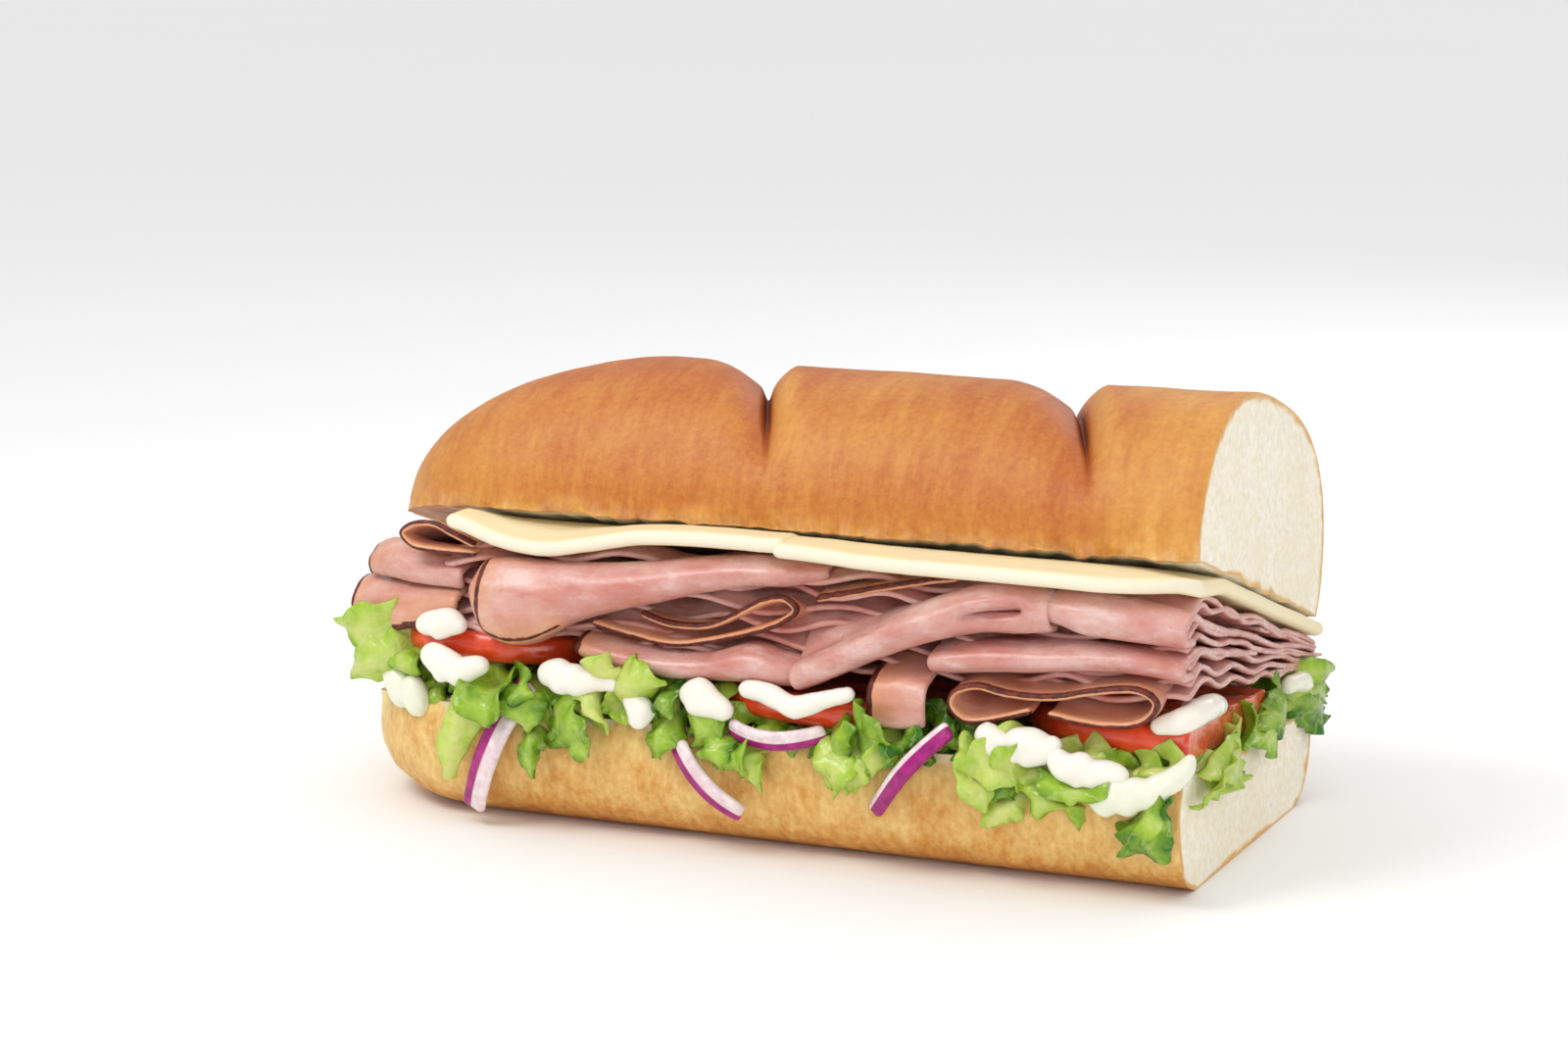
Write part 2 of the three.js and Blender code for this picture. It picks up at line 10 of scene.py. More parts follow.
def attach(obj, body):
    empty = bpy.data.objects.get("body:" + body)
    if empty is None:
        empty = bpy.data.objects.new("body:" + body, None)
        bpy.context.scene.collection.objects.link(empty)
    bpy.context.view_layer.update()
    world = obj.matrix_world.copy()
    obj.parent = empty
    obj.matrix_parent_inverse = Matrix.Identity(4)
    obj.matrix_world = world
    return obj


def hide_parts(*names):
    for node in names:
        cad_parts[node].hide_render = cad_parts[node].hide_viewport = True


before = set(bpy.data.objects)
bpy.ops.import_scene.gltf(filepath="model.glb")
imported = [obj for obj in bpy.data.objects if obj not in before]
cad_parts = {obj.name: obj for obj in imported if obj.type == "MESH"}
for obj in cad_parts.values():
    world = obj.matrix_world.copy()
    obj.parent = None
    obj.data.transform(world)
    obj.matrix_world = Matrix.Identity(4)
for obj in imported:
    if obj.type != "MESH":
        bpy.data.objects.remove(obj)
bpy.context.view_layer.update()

MM = 0.001
CUT_X = 76.0  # plane of the knife cut across the loaf

# Thickness of the slices
HAM_T, FOLDED_HAM_T, INNER_HAM_T = 1.5, 1.15, 1.0
CHEESE_T, TOMATO_T, ONION_T, LEAF_T, CORE_T = 2.6, 5.0, 1.6, 0.45, 2.4

# Steps along and across their meshes
DRAPE_GRID, FOLD_GRID, INNER_GRID = (60, 48), (110, 32), (90, 24)
CHEESE_GRID, ONION_GRID, LEAF_GRID, CORE_GRID = (84, 60), (60, 20), (24, 9), (60, 30)

# Camera, as found from the photograph
VIEW_AZIMUTH, VIEW_ELEVATION = 23.9, 10.4
VIEW_PLACE = (242.8, -570.5, 161.9)
VIEW_LENS, SENSOR = 83.75, 36.0
SKY_SIDE, SKY_TOP = 0.4, 1.1  # soft light from the sides and from above

# The upper half of the loaf, tilted up at the front about the middle of its split
TOP_LEFT, TOP_HALF, TOP_HEIGHT, TOP_POWER = -78, 37.3, 31.6, 2 / 2.6
TOP_TILT, TOP_Y, TOP_Z = math.radians(17.7), -0.5, 42.5
TOP_PLAN_END, TOP_RISE_END = 30, 50  # lengths over which its left end rounds off in plan and in height
SLASH_AT, SLASH_SLANT, SLASH_DEPTH = (-12.8, 43.3), 0.43, 5.4
SLASH_BEFORE, SLASH_AFTER = 13, 5.5  # lengths of the slope down to a slash and of the rise behind it
SLASH_AXIS = 8  # height of the line that the slashes sink towards

# The lower half: its split is higher at the front, and its wall has rows of half width and height
BASE_LEFT, BASE_END, BASE_Y, BASE_AXIS = -80, 31, -5, 13
BASE_FRONT, BASE_BACK = 20, 15.5
BASE_WALL = [(28, 0), (33, 2.2), (36, 6.5), (37.4, 12), (37.2, 16), (36, 19)]
TORN = 1.2  # how far the torn crumb of a split stands up


# Numbers

def lerp(a, b, t):
    return a + (b - a) * t


def ease(low, high, v):
    t = np.clip((np.asarray(v, float) - low) / (high - low), 0, 1)
    return t * t * (3 - 2 * t)


def point(*parts):
    """Points from arrays of their coordinates."""
    return np.stack(np.broadcast_arrays(*parts), -1)


def unit(v):
    return v / np.maximum(np.linalg.norm(v, axis=-1, keepdims=True), 1e-9)


def blend_points(pts, i, w):
    """Smooth line through rows of points, at a share w of the way from row i to the next."""
    def pick(k):
        return np.take_along_axis(pts, np.clip(k, 0, len(pts) - 1)[None, ..., None], 0)[0]

    before, a, b, after = pick(i - 1), pick(i), pick(i + 1), pick(i + 2)
    v0, v1 = (b - before) / 2, (after - a) / 2
    cubic = 2 * a - 2 * b + v0 + v1
    square = 3 * b - 3 * a - 2 * v0 - v1
    return cubic * w ** 3 + square * w ** 2 + v0 * w + a


def along_rows(pts, t):
    t = np.clip(np.asarray(t, float), 0, 1) * (len(pts) - 1)
    i = np.minimum(t.astype(int), len(pts) - 2)
    return blend_points(pts, i, (t - i)[..., None])


def curve(points):
    """Smooth line through points, as a function of 0 to 1."""
    pts = np.asarray(points, float)

    def at(t):
        rows = pts.reshape(len(pts), *[1] * np.ndim(t), -1)
        return along_rows(np.broadcast_to(rows, (len(pts), *np.shape(t), pts.shape[1])), t)

    return at


HASH_AXES, HASH_SEED, LOW_BITS = (374761393, 668265263, 974711), 1274126177, 0xFFFFFFFF


def noise(p, size, seed):
    """Smooth random field of -1 to 1, with features of the given size."""
    q = np.asarray(p, float) / size + 1000.5
    cell = np.floor(q).astype(np.int64)
    w = q - cell
    w = w * w * (3 - 2 * w)
    total = 0.0
    for corner in range(8):
        pick = np.array([corner & 1, corner >> 1 & 1, corner >> 2 & 1])
        h = (((cell + pick) * HASH_AXES).sum(-1) + seed * HASH_SEED) & LOW_BITS
        h = ((h ^ (h >> 13)) * HASH_SEED) & LOW_BITS
        h = (h ^ (h >> 16)) & 0xFFFF
        total = total + h / 32767.5 * np.prod(np.where(pick, w, 1 - w), axis=-1)
    return total - 1


# Meshes

def put_in_scene(name, data):
    thing = bpy.data.objects.new(name, data)
    bpy.context.scene.collection.objects.link(thing)
    return thing


def make(name, verts, faces, material, **fields):
    """Mesh object from points in millimetres, with one number field per point for the material to read."""
    mesh = bpy.data.meshes.new(name)
    mesh.from_pydata((np.asarray(verts) * MM).tolist(), [], np.asarray(faces).tolist())
    for key, values in fields.items():
        field = mesh.attributes.new(key, "FLOAT", "POINT")
        field.data.foreach_set("value", np.asarray(values, np.float32).ravel())
    mesh.shade_smooth()
    mesh.materials.append(material)
    mesh.validate()
    mesh.update()
    return put_in_scene(name, mesh)


def grid_faces(rows, cols, wrap):
    r, c = np.meshgrid(np.arange(rows - 1), np.arange(cols if wrap else cols - 1), indexing="ij")
    a = r * cols + c
    b = r * cols + (c + 1) % cols
    return point(a, b, b + cols, a + cols).reshape(-1, 4)


def facing_out(points, faces, centre):
    """Faces turned so that they look away from a centre on the whole."""
    a, b, c, d = (points[faces[:, k]] for k in range(4))
    normal = np.cross(c - a, d - b)
    outwards = np.einsum("ij,ij->", normal, (a + c) / 2 - centre)
    return faces if outwards > 0 else faces[:, ::-1]


def slab(place, grid, thickness, bend=None, rounded=True):
    """Slab about a surface place(u, v), with its edges rounded where asked.

    Gives points, faces, and per point: u, v, side, distances to the four borders.
    """
    nu, nv = grid
    u, v = np.meshgrid(np.linspace(0, 1, nu + 1), np.linspace(0, 1, nv + 1), indexing="ij")
    mid = place(u, v)
    along = unit(np.gradient(mid, axis=0))
    across = unit(np.gradient(mid, axis=1))
    normal = unit(np.cross(along, across))
    if bend is not None:
        mid = mid + normal * bend(mid, u, v)[..., None]
    half = np.broadcast_to(thickness(u, v) if callable(thickness) else thickness, u.shape) / 2
    run_u = np.linalg.norm(np.diff(mid, axis=0, prepend=mid[:1]), axis=-1).cumsum(0)
    run_v = np.linalg.norm(np.diff(mid, axis=1, prepend=mid[:, :1]), axis=-1).cumsum(1)
    turns = np.radians([90, 65, 35] if rounded else [90])
    edge = np.radians([-60, -30, 0, 30, 60] if rounded else [0])
    ends = [(0, t) for t in turns] + [(i, 0) for i in range(nu + 1)] + [(nu, t) for t in turns[::-1]]

    def wrap(a):
        return np.concatenate([a, np.full(len(edge), a[-1]), a[::-1], np.full(len(edge), a[0])])

    sides = np.concatenate([np.ones(nv + 1), -np.sin(edge), -np.ones(nv + 1), np.sin(edge)])
    rows, info = [], []
    for i, turn in ends:
        out = -along[i] if i == 0 else along[i]
        m = mid[i] + out * (half[i] * math.sin(turn))[:, None]
        h = (half[i] * math.cos(turn))[:, None]
        n, ac = normal[i], across[i]
        tip = [m[-1] + ac[-1] * h[-1] * math.cos(e) - n[-1] * h[-1] * math.sin(e) for e in edge]
        root = [m[0] - ac[0] * h[0] * math.cos(e) + n[0] * h[0] * math.sin(e) for e in edge]
        rows.append(np.concatenate([m + n * h, tip, (m - n * h)[::-1], root]))
        runs = [run_u[i], run_u[-1] - run_u[i], run_v[i], run_v[i][-1] - run_v[i]]
        info.append(np.stack([wrap(u[i]), wrap(v[i]), sides] + [wrap(r) for r in runs], -1))
    points = np.array(rows)
    faces = grid_faces(points.shape[0], points.shape[1], True)
    points = points.reshape(-1, 3)
    return points, facing_out(points, faces, points.mean(0)), np.array(info).reshape(-1, 7).T


def join(parts):
    """One set of arrays from many (points, faces, fields)."""
    start, points, faces, fields = 0, [], [], {}
    for p, f, d in parts:
        points.append(p)
        faces.append(f + start)
        for key, values in d.items():
            fields.setdefault(key, []).append(np.broadcast_to(np.ravel(values), len(p)))
        start += len(p)
    return np.concatenate(points), np.concatenate(faces), {k: np.concatenate(v) for k, v in fields.items()}


def settle_piece(piece, slot, *nodes):
    """Piece on the one body, in place of nodes. The slot is not used."""
    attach(piece, "root")
    if nodes:
        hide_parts(*nodes)


def dress(node, slot, material, points, faces, fields):
    """Piece that stands for one node."""
    settle_piece(make(node + "_look", points, faces, material, **fields), slot, node)


# Materials

def colour(r, g, b):
    """Linear colour from the 0 to 255 values that a screen shows."""
    c = np.array([r, g, b]) / 255
    return tuple(np.where(c <= 0.04045, c / 12.92, ((c + 0.055) / 1.055) ** 2.4)) + (1.0,)


class Look:
    """A procedural material: small helpers that add nodes and give back their output."""

    def __init__(self, name):
        self.material = bpy.data.materials.new(name)
        self.material.use_nodes = True
        self.tree = self.material.node_tree
        self.shader = self.tree.nodes["Principled BSDF"]
        self.place = self.tree.nodes.new("ShaderNodeTexCoord").outputs["Object"]

    def put(self, node, **values):
        """Values or links put on a node's sockets, named or with _ before their number."""
        for key, value in values.items():
            socket = node.inputs[int(key[1:]) if key[0] == "_" else key.replace("_", " ")]
            if isinstance(value, bpy.types.NodeSocket):
                self.tree.links.new(value, socket)
            else:
                socket.default_value = value
        return node

    def new(self, kind, **values):
        return self.put(self.tree.nodes.new("ShaderNode" + kind), **values)

    def noise(self, size, detail=3.0, rough=0.55, stretch=None):
        """Noise with features of about the given size in millimetres, longer where stretch is below 1."""
        where = self.place
        if stretch:
            scaled = self.new("VectorMath", _0=where, _1=stretch)
            scaled.operation = "MULTIPLY"
            where = scaled.outputs[0]
        node = self.new("TexNoise", Vector=where, Scale=1000 / size, Detail=detail, Roughness=rough)
        return node.outputs["Fac"]

    def field(self, name):
        node = self.new("Attribute")
        node.attribute_name = name
        return node.outputs["Fac"]

    def math(self, operation, a, b=0.0):
        node = self.new("Math", _0=a, _1=b)
        node.operation = operation
        return node.outputs[0]

    def add(self, a, b):
        return self.math("ADD", a, b)

    def times(self, a, b):
        return self.math("MULTIPLY", a, b)

    def span(self, value, low, high, out_low=0.0, out_high=1.0):
        """Value from low to high, spread from out_low to out_high."""
        return self.new("MapRange", Value=value, From_Min=low, From_Max=high,
                        To_Min=out_low, To_Max=out_high).outputs[0]

    def mix(self, share, a, b):
        """Mix of two colours, each a link or red, green and blue from 0 to 255."""
        a, b = (colour(*c) if isinstance(c, tuple) else c for c in (a, b))
        node = self.new("Mix")
        node.data_type, node.clamp_factor = "RGBA", True
        return self.put(node, _0=share, _6=a, _7=b).outputs[2]

    def bump(self, height, strength, distance):
        node = self.new("Bump", Height=height, Strength=strength, Distance=distance * MM)
        self.put(self.shader, Normal=node.outputs[0])

    def finish(self, base, rough, soft=0.0, radius=(1, 1, 1), **values):
        """The material, with a share soft of the light spread under its surface."""
        self.put(self.shader, Base_Color=base, Roughness=rough, Subsurface_Weight=soft,
                 Subsurface_Radius=radius, **values)
        return self.material


def bread_look():
    k = Look("bread")
    # The crust's browning field also carries painted shade along the slash creases of the upper half.
    browning_and_crease_shade, crumb, fuzz = k.field("browning_and_crease_shade"), k.field("crumb"), k.field("fuzz")
    fine = k.noise(1.1, 4, 0.65)
    tufts = k.noise(1.7, 5, 0.7, stretch=(1.0, 1.0, 0.5))
    streak = k.noise(2.2, 4, 0.6, stretch=(1.0, 0.16, 0.16))
    shade = browning_and_crease_shade
    for spots in (k.noise(15, 3, 0.5), fine, streak):
        shade = k.add(shade, k.span(spots, 0.3, 0.7, -0.06, 0.06))
    shade = k.add(shade, k.times(fuzz, k.span(tufts, 0.32, 0.68, -0.14, 0.14)))
    crust = k.mix(k.span(shade, 0.0, 0.4), (246, 214, 138), (214, 152, 72))
    crust = k.mix(k.span(shade, 0.4, 0.7), crust, (182, 98, 38))
    crust = k.mix(k.span(shade, 0.7, 1.1), crust, (118, 50, 22))
    inside = k.mix(k.span(k.noise(1.2, 5, 0.7), 0.34, 0.6), (238, 225, 196), (252, 246, 233))
    inside = k.mix(k.span(k.noise(9, 3), 0.4, 0.7, 0, 0.35), inside, (240, 224, 188))
    base = k.mix(crumb, crust, inside)
    height = k.add(k.times(fine, 0.5), k.times(k.noise(0.5, 3), 0.5))
    height = k.add(height, k.times(fuzz, k.times(tufts, 2.0)))
    k.bump(height, 0.4, 0.4)
    rough = k.span(crumb, 0, 1, 0.46, 0.9)
    return k.finish(base, rough, 0.05, (0.003, 0.0016, 0.0008), Specular_IOR_Level=0.32)


def ham_look():
    k = Look("ham")
    rind, tan = k.field("rind"), k.field("tan")
    cloud = k.noise(13, 4, 0.6)
    grain = k.noise(3.2, 5, 0.65, stretch=(0.4, 1.0, 1.0))
    flesh = k.mix(k.span(cloud, 0.34, 0.66), (218, 174, 164), (200, 128, 115))
    flesh = k.mix(k.span(grain, 0.52, 0.72, 0, 0.6), flesh, (234, 212, 206))
    flesh = k.mix(k.span(grain, 0.46, 0.3, 0, 0.5), flesh, (184, 90, 74))
    flesh = k.mix(tan, flesh, (222, 156, 102))
    edge = k.add(rind, k.span(k.noise(1.3, 3), 0.3, 0.7, -0.2, 0.2))
    skin = k.mix(k.span(k.noise(0.9, 3), 0.42, 0.64), (68, 15, 4), (124, 40, 12))
    base = k.mix(k.span(edge, 0.4, 0.6), flesh, skin)
    k.bump(k.add(k.times(grain, 0.7), k.noise(0.8, 3)), 0.2, 0.35)
    rough = k.add(k.span(cloud, 0.3, 0.7, 0.22, 0.36), k.times(rind, 0.3))
    return k.finish(base, rough, 0.22, (0.004, 0.0016, 0.0012), Specular_IOR_Level=0.55)


def cheese_look():
    k = Look("cheese")
    face = k.mix(k.noise(12, 3), (240, 223, 172), (244, 231, 192))
    # The cut edge is painted paler than the top: painted light on the edge, with the top left as if in shade
    # under the bread.
    base = k.mix(k.field("edge"), face, (240, 231, 207))
    k.bump(k.noise(1.4, 4), 0.14, 0.3)
    return k.finish(base, 0.4, 0.15, (0.004, 0.003, 0.0015))


def tomato_look():
    k = Look("tomato")
    skin, gel = k.field("skin"), k.field("gel")
    grain = k.noise(1.3, 4, 0.6)
    flesh = k.mix(k.span(grain, 0.35, 0.68), (216, 72, 42), (236, 128, 90))
    flesh = k.mix(gel, flesh, (190, 96, 36))
    red = k.mix(k.span(k.noise(4, 4), 0.35, 0.65), (242, 88, 40), (222, 56, 24))
    base = k.mix(skin, flesh, red)
    k.bump(k.add(grain, k.times(k.noise(0.6, 3), 0.6)), 0.22, 0.4)
    return k.finish(base, 0.22, 0.12, (0.004, 0.001, 0.0005), Coat_Weight=0.4, Coat_Roughness=0.08,
                    Specular_IOR_Level=0.5)


def onion_look():
    k = Look("onion")
    streak = k.noise(2.4, 3, 0.6)
    purple = k.mix(k.span(streak, 0.35, 0.7), (140, 8, 98), (184, 26, 132))
    flesh = k.mix(k.span(k.noise(1.6, 3), 0.38, 0.68), (226, 200, 206), (244, 232, 230))
    k.bump(k.noise(0.7, 3), 0.14, 0.3)
    base = k.mix(k.field("skin"), flesh, purple)
    return k.finish(base, 0.24, 0.1, (0.002, 0.001, 0.001))


def mayonnaise_look(name, light, dark):
    k = Look(name)
    base = k.mix(k.noise(4, 3), light, dark)
    k.bump(k.noise(2.0, 3), 0.12, 0.5)
    return k.finish(base, 0.2, 0.25, (0.003, 0.003, 0.002), Specular_IOR_Level=0.5)


def lettuce_look():
    k = Look("lettuce")
    tone, rib = k.field("tone"), k.field("rib")
    cloud = k.noise(4, 4, 0.6)
    vein = k.span(k.math("ABSOLUTE", k.math("SUBTRACT", k.noise(5, 2), 0.5)), 0.0, 0.035)
    shade = k.add(tone, k.span(cloud, 0.3, 0.7, -0.3, 0.18))
    leaf = k.mix(k.span(shade, 0.0, 0.45), (234, 240, 140), (182, 218, 62))
    leaf = k.mix(k.span(shade, 0.45, 1.0), leaf, (60, 128, 26))
    leaf = k.mix(vein, k.mix(0.35, leaf, (226, 238, 150)), leaf)
    leaf = k.mix(k.times(rib, 0.7), leaf, (228, 236, 168))
    k.bump(k.add(k.noise(1.5, 3), k.times(vein, 0.5)), 0.35, 0.5)
    k.finish(leaf, 0.2, Specular_IOR_Level=0.55)
    thin = k.new("BsdfTranslucent", Color=leaf)
    blend = k.new("MixShader", _0=0.3, _1=k.shader.outputs[0], _2=thin.outputs[0])
    k.put(k.tree.nodes["Material Output"], Surface=blend.outputs[0])
    return k.material


BREAD = bread_look()
HAM = ham_look()
CHEESE = cheese_look()
TOMATO = tomato_look()
ONION = onion_look()
LETTUCE = lettuce_look()
MAYO = mayonnaise_look("mayonnaise", (247, 243, 233), (240, 234, 219))
MAYO_THIN = mayonnaise_look("mayonnaise_thin", (230, 232, 208), (240, 238, 221))


# Bread

def cut_face(ring, rings, seed):
    """Crumb over the knife cut inside a ring of points: a thin crust rim, then small pits."""
    centre = ring.mean(0)
    share = np.linspace(0, 0.995, rings) ** 1.2
    points = ring + (centre - ring) * share[:, None, None]
    deep = share[:, None] * np.linalg.norm(ring - centre, axis=1)
    coarse = np.clip(noise(points, 3.2, seed) - 0.3, 0, 1)
    fine = np.clip(noise(points, 1.7, seed + 1) - 0.1, 0, 1)
    pits = 0.4 * coarse + 0.25 * fine
    points[..., 0] -= ease(0.3, 2.0, deep) * (pits + 0.06 * (1 + noise(points, 1.1, seed + 2)))
    crumb = ease(0.35, 1.7, deep + 0.5 * noise(points, 1.6, seed + 3))
    return points, dict(crumb=crumb, browning_and_crease_shade=0.3, fuzz=0.0)


def split_face(points, seed, lift):
    """Torn crumb between the last and the first line of the crust."""
    share = np.linspace(0, 1, 26)
    first, last = points[:, :1], points[:, -1:]
    face = last + (first - last) * share[None, :, None]
    rough = np.clip(noise(face, 5, seed) + 0.4 * noise(face, 2, seed + 1), -0.2, 1)
    face[..., 2] += lift * TORN * rough * np.sin(np.pi * share)
    return face


def loaf(node, crust, fields, seed, lift, crust_to, turn):
    """Crust, split and knife cut of one half of the loaf.

    At its rounded end the crust reaches to crust_to. A larger turn makes its change to crumb longer.
    """
    split = split_face(crust, seed, lift)
    ring = np.concatenate([crust[-1], split[-1][1:-1]])
    cut, cut_fields = cut_face(ring, 64, seed + 10)
    centre = crust.reshape(-1, 3).mean(0)
    share = np.linspace(0, 1, split.shape[1])
    width = np.linalg.norm(split[:, -1] - split[:, 0], axis=-1)
    deep = np.minimum(np.minimum(share, 1 - share) * width[:, None], (split[..., 0] - crust_to) / turn)
    inside = ease(0.3, 2.4, deep + 0.6 * noise(split, 2.2, seed + 5))
    plain = dict(crumb=inside, browning_and_crease_shade=0.45, fuzz=0.5)
    parts = []
    for grid, wrap, values in ((crust, False, fields), (split, False, plain), (cut, True, cut_fields)):
        points = grid.reshape(-1, 3)
        parts.append((points, facing_out(points, grid_faces(*grid.shape[:2], wrap), centre), values))
    dress(node, "bread", BREAD, *join(parts))


def stations(left, end, step, extra=()):
    """Lengths along a half loaf, closer together at its rounded end and where asked."""
    rounded = left + end * np.linspace(0, 1, 46) ** 2
    straight = np.arange(left + end, CUT_X, step)
    return np.unique(np.concatenate([rounded, straight, [CUT_X], *extra]).round(3))


def top_loaf():
    s = stations(TOP_LEFT, TOP_PLAN_END, 0.75, [at + np.linspace(-3, 3, 25) for at in SLASH_AT])
    rise_share = np.linspace(0, 1, 62) ** 1.7 / 2
    S, T = np.meshgrid(s, np.concatenate([rise_share, 1 - rise_share[-2::-1]]), indexing="ij")
    plan = np.sqrt(1 - (1 - np.clip((S - TOP_LEFT) / TOP_PLAN_END, 0, 1)) ** 2)
    rise = (1 - (1 - np.clip((S - TOP_LEFT) / TOP_RISE_END, 0, 1)) ** 2) ** 0.62
    z = TOP_HEIGHT * rise * np.sin(np.pi * T).clip(0) ** TOP_POWER
    side = -np.sign(np.cos(np.pi * T)) * np.abs(np.cos(np.pi * T)) ** TOP_POWER
    y = TOP_HALF * plan * side * (1 - 0.03 * np.clip(1 - z / 7, 0, 1) ** 2)
    # The slashes: a long slope down from the left, a narrow line, and a short steep rise to the right
    cut, ear, line, pale = (np.zeros_like(z) for _ in range(4))
    for at in SLASH_AT:
        d = S - at
        down = np.clip(1 + d / SLASH_BEFORE, 0, 1) ** 2.2
        up = np.clip(1 - d / SLASH_AFTER, 0, 1) ** 1.5
        slope = np.where(d < 0, down, up)
        cut = np.maximum(cut, slope + 0.28 * np.exp(-(d / 0.7) ** 2))
        ear = np.maximum(ear, np.where(d < 0, np.exp(-(d / 3.4) ** 2), np.exp(-(d / 0.7) ** 2)))
        # line marks a thin painted shade along the crease of each slash.
        line = np.maximum(line, np.exp(-(d / 0.5) ** 2))
        pale = np.maximum(pale, np.exp(-((d - 3.4) / 2.2) ** 2))
    fade = ease(0.2, 0.8, z / TOP_HEIGHT)
    inwards = 1 - SLASH_DEPTH * cut * fade / np.hypot(y, z - SLASH_AXIS).clip(1)
    y = y * inwards
    z = np.where(z > 0.01, SLASH_AXIS + (z - SLASH_AXIS) * inwards, z)
    world_y = TOP_Y + y * math.cos(TOP_TILT) + z * math.sin(TOP_TILT)
    world_z = TOP_Z - y * math.sin(TOP_TILT) + z * math.cos(TOP_TILT)
    skew = SLASH_SLANT * ease(-66, -26, S) * (1 - ease(46, CUT_X, S))
    points = point(S - skew * world_y, world_y, world_z)
    normal = unit(np.cross(np.gradient(points, axis=1), np.gradient(points, axis=0)))
    normal *= np.sign(np.sum(normal * (points - [0, 5, 50])))
    low = np.clip(1 - z / 3.2, 0, 1)
    keep = ease(TOP_LEFT, TOP_LEFT + 4, S) * (1 - ease(CUT_X - 1.0, CUT_X, S))
    swell = 0.55 * noise(points, 24, 3) + 0.16 * noise(points, 9, 4) + 0.04 * noise(points, 2, 5)
    torn = low * (0.5 * noise(points, 4, 8) + 0.5 * noise(points, 1.7, 9) + 0.25 * noise(points, 0.8, 10))
    points += normal * ((swell + torn) * keep)[..., None]
    points[..., 2] -= low ** 2 * (0.35 + 0.45 * noise(points, 6, 12) + 0.3 * noise(points, 2, 13)) * keep
    # The 0.5 * line term below is painted shade along the crease of each slash.
    browning_and_crease_shade = 0.58 + 0.1 * noise(points, 30, 11) + fade * (0.2 * ear + 0.5 * line - 0.2 * pale)
    browning_and_crease_shade += low * (0.12 * noise(points, 3, 15) - 0.12)
    browning_and_crease_shade += 0.06 * ease(0.5, 0.95, z / TOP_HEIGHT) - 0.1 * ease(-40, -78, S) - 0.16 * ease(40, 62, S)
    crumb = 0.08 * low * ease(-0.1, 0.5, noise(points, 2.2, 14) + low - 0.5)
    fields = dict(crumb=crumb, browning_and_crease_shade=browning_and_crease_shade, fuzz=low)
    loaf("bread_top", points, fields, seed=21, lift=1, crust_to=-74, turn=9)


def base_loaf():
    s = stations(BASE_LEFT, BASE_END, 0.7)
    w = np.linspace(0, 1, 48)
    wall = curve(BASE_WALL)(w)
    foot, highest = BASE_WALL[0][0], BASE_WALL[-1][1]
    front = point(-wall[:, 0], wall[:, 1] / highest * BASE_FRONT)
    back = point(wall[:, 0], wall[:, 1] / highest * BASE_BACK)
    flat = np.zeros(18)
    rest = point(np.linspace(foot, -foot, len(flat) + 2)[1:-1], flat)
    outline = np.concatenate([back[::-1], rest, front])
    scale = (1 - (1 - np.clip((s - BASE_LEFT) / BASE_END, 0, 1)) ** 2.2) ** (1 / 2.2)
    S = np.repeat(s[:, None], len(outline), 1)
    y = BASE_Y + outline[None, :, 0] * scale[:, None]
    z = BASE_AXIS + (outline[None, :, 1] - BASE_AXIS) * scale[:, None]
    points = point(S, y, z)
    normal = unit(np.cross(np.gradient(points, axis=0), np.gradient(points, axis=1)))
    normal *= np.sign(np.sum(normal * (points - [0, -5, 10])))
    keep = ease(0.2, 4, z) * ease(BASE_LEFT, BASE_LEFT + 4, S) * (1 - ease(CUT_X - 1.0, CUT_X, S))
    hairs = points * (1, 1, 0.35)
    swell = 0.5 * noise(points, 18, 41) + 0.22 * noise(points, 7, 42)
    fuzz = 0.3 * noise(hairs, 2.4, 43) + 0.2 * noise(hairs, 1.2, 45)
    rim = ease(0.84, 1.0, np.concatenate([w[::-1], flat, w]))[None] * np.ones_like(z)
    torn = rim * (0.6 * noise(points, 4, 46) + 0.4 * noise(points, 1.6, 47))
    points += normal * ((swell + fuzz + torn) * keep)[..., None]
    points[..., 2] = np.maximum(points[..., 2], 0)
    blotch = 0.14 * noise(points, 14, 44) + 0.1 * noise(hairs, 4, 49) + 0.25 * fuzz
    browning_and_crease_shade = 0.22 + 0.65 * blotch + 0.3 * ease(7, 0, z) - 0.14 * ease(-48, -76, S) - 0.06 * ease(11, 19, z)
    crumb = 0.7 * rim * ease(-0.2, 0.4, noise(points, 2.5, 48) + rim - 0.6)
    fields = dict(crumb=crumb, browning_and_crease_shade=browning_and_crease_shade, fuzz=1.0)
    loaf("bread_bottom", points, fields, seed=51, lift=-1, crust_to=BASE_LEFT, turn=1)


top_loaf()
base_loaf()


# Space between the halves, and the band that the ham fills

HAM_LOW, HAM_ROOM = (31.4, 22.6), (5.2, 4.8)  # its low side and the room above it, at the front and back
END_X, END_HALF = -36, 41  # where the left end starts to round off, and its half width


def floor_at(y):
    """Height of the lower split."""
    return lerp(BASE_FRONT, BASE_BACK, np.clip((y + 38) / 72, 0, 1))


def ceiling_at(y):
    """Height of the upper split."""
    return TOP_Z - math.tan(TOP_TILT) * (np.maximum(y, -37) - TOP_Y)


def to_back(y):
    return np.clip((y + 34) / 68, 0, 1)


def ham_low(y):
    return lerp(*HAM_LOW, to_back(y))


def ham_high(y):
    return ceiling_at(y) - lerp(*HAM_ROOM, to_back(y))


def in_band(y, share):
    """Height at a share of the band."""
    return lerp(ham_low(y), ham_high(y), share)


def settled(y):
    """How far a slice has come from its place at the front into the band."""
    return ease(-42, -28, y)


def settle(z, y, share):
    """Height z at the front, and a share of the band further back."""
    return lerp(z, in_band(y, share), settled(y))


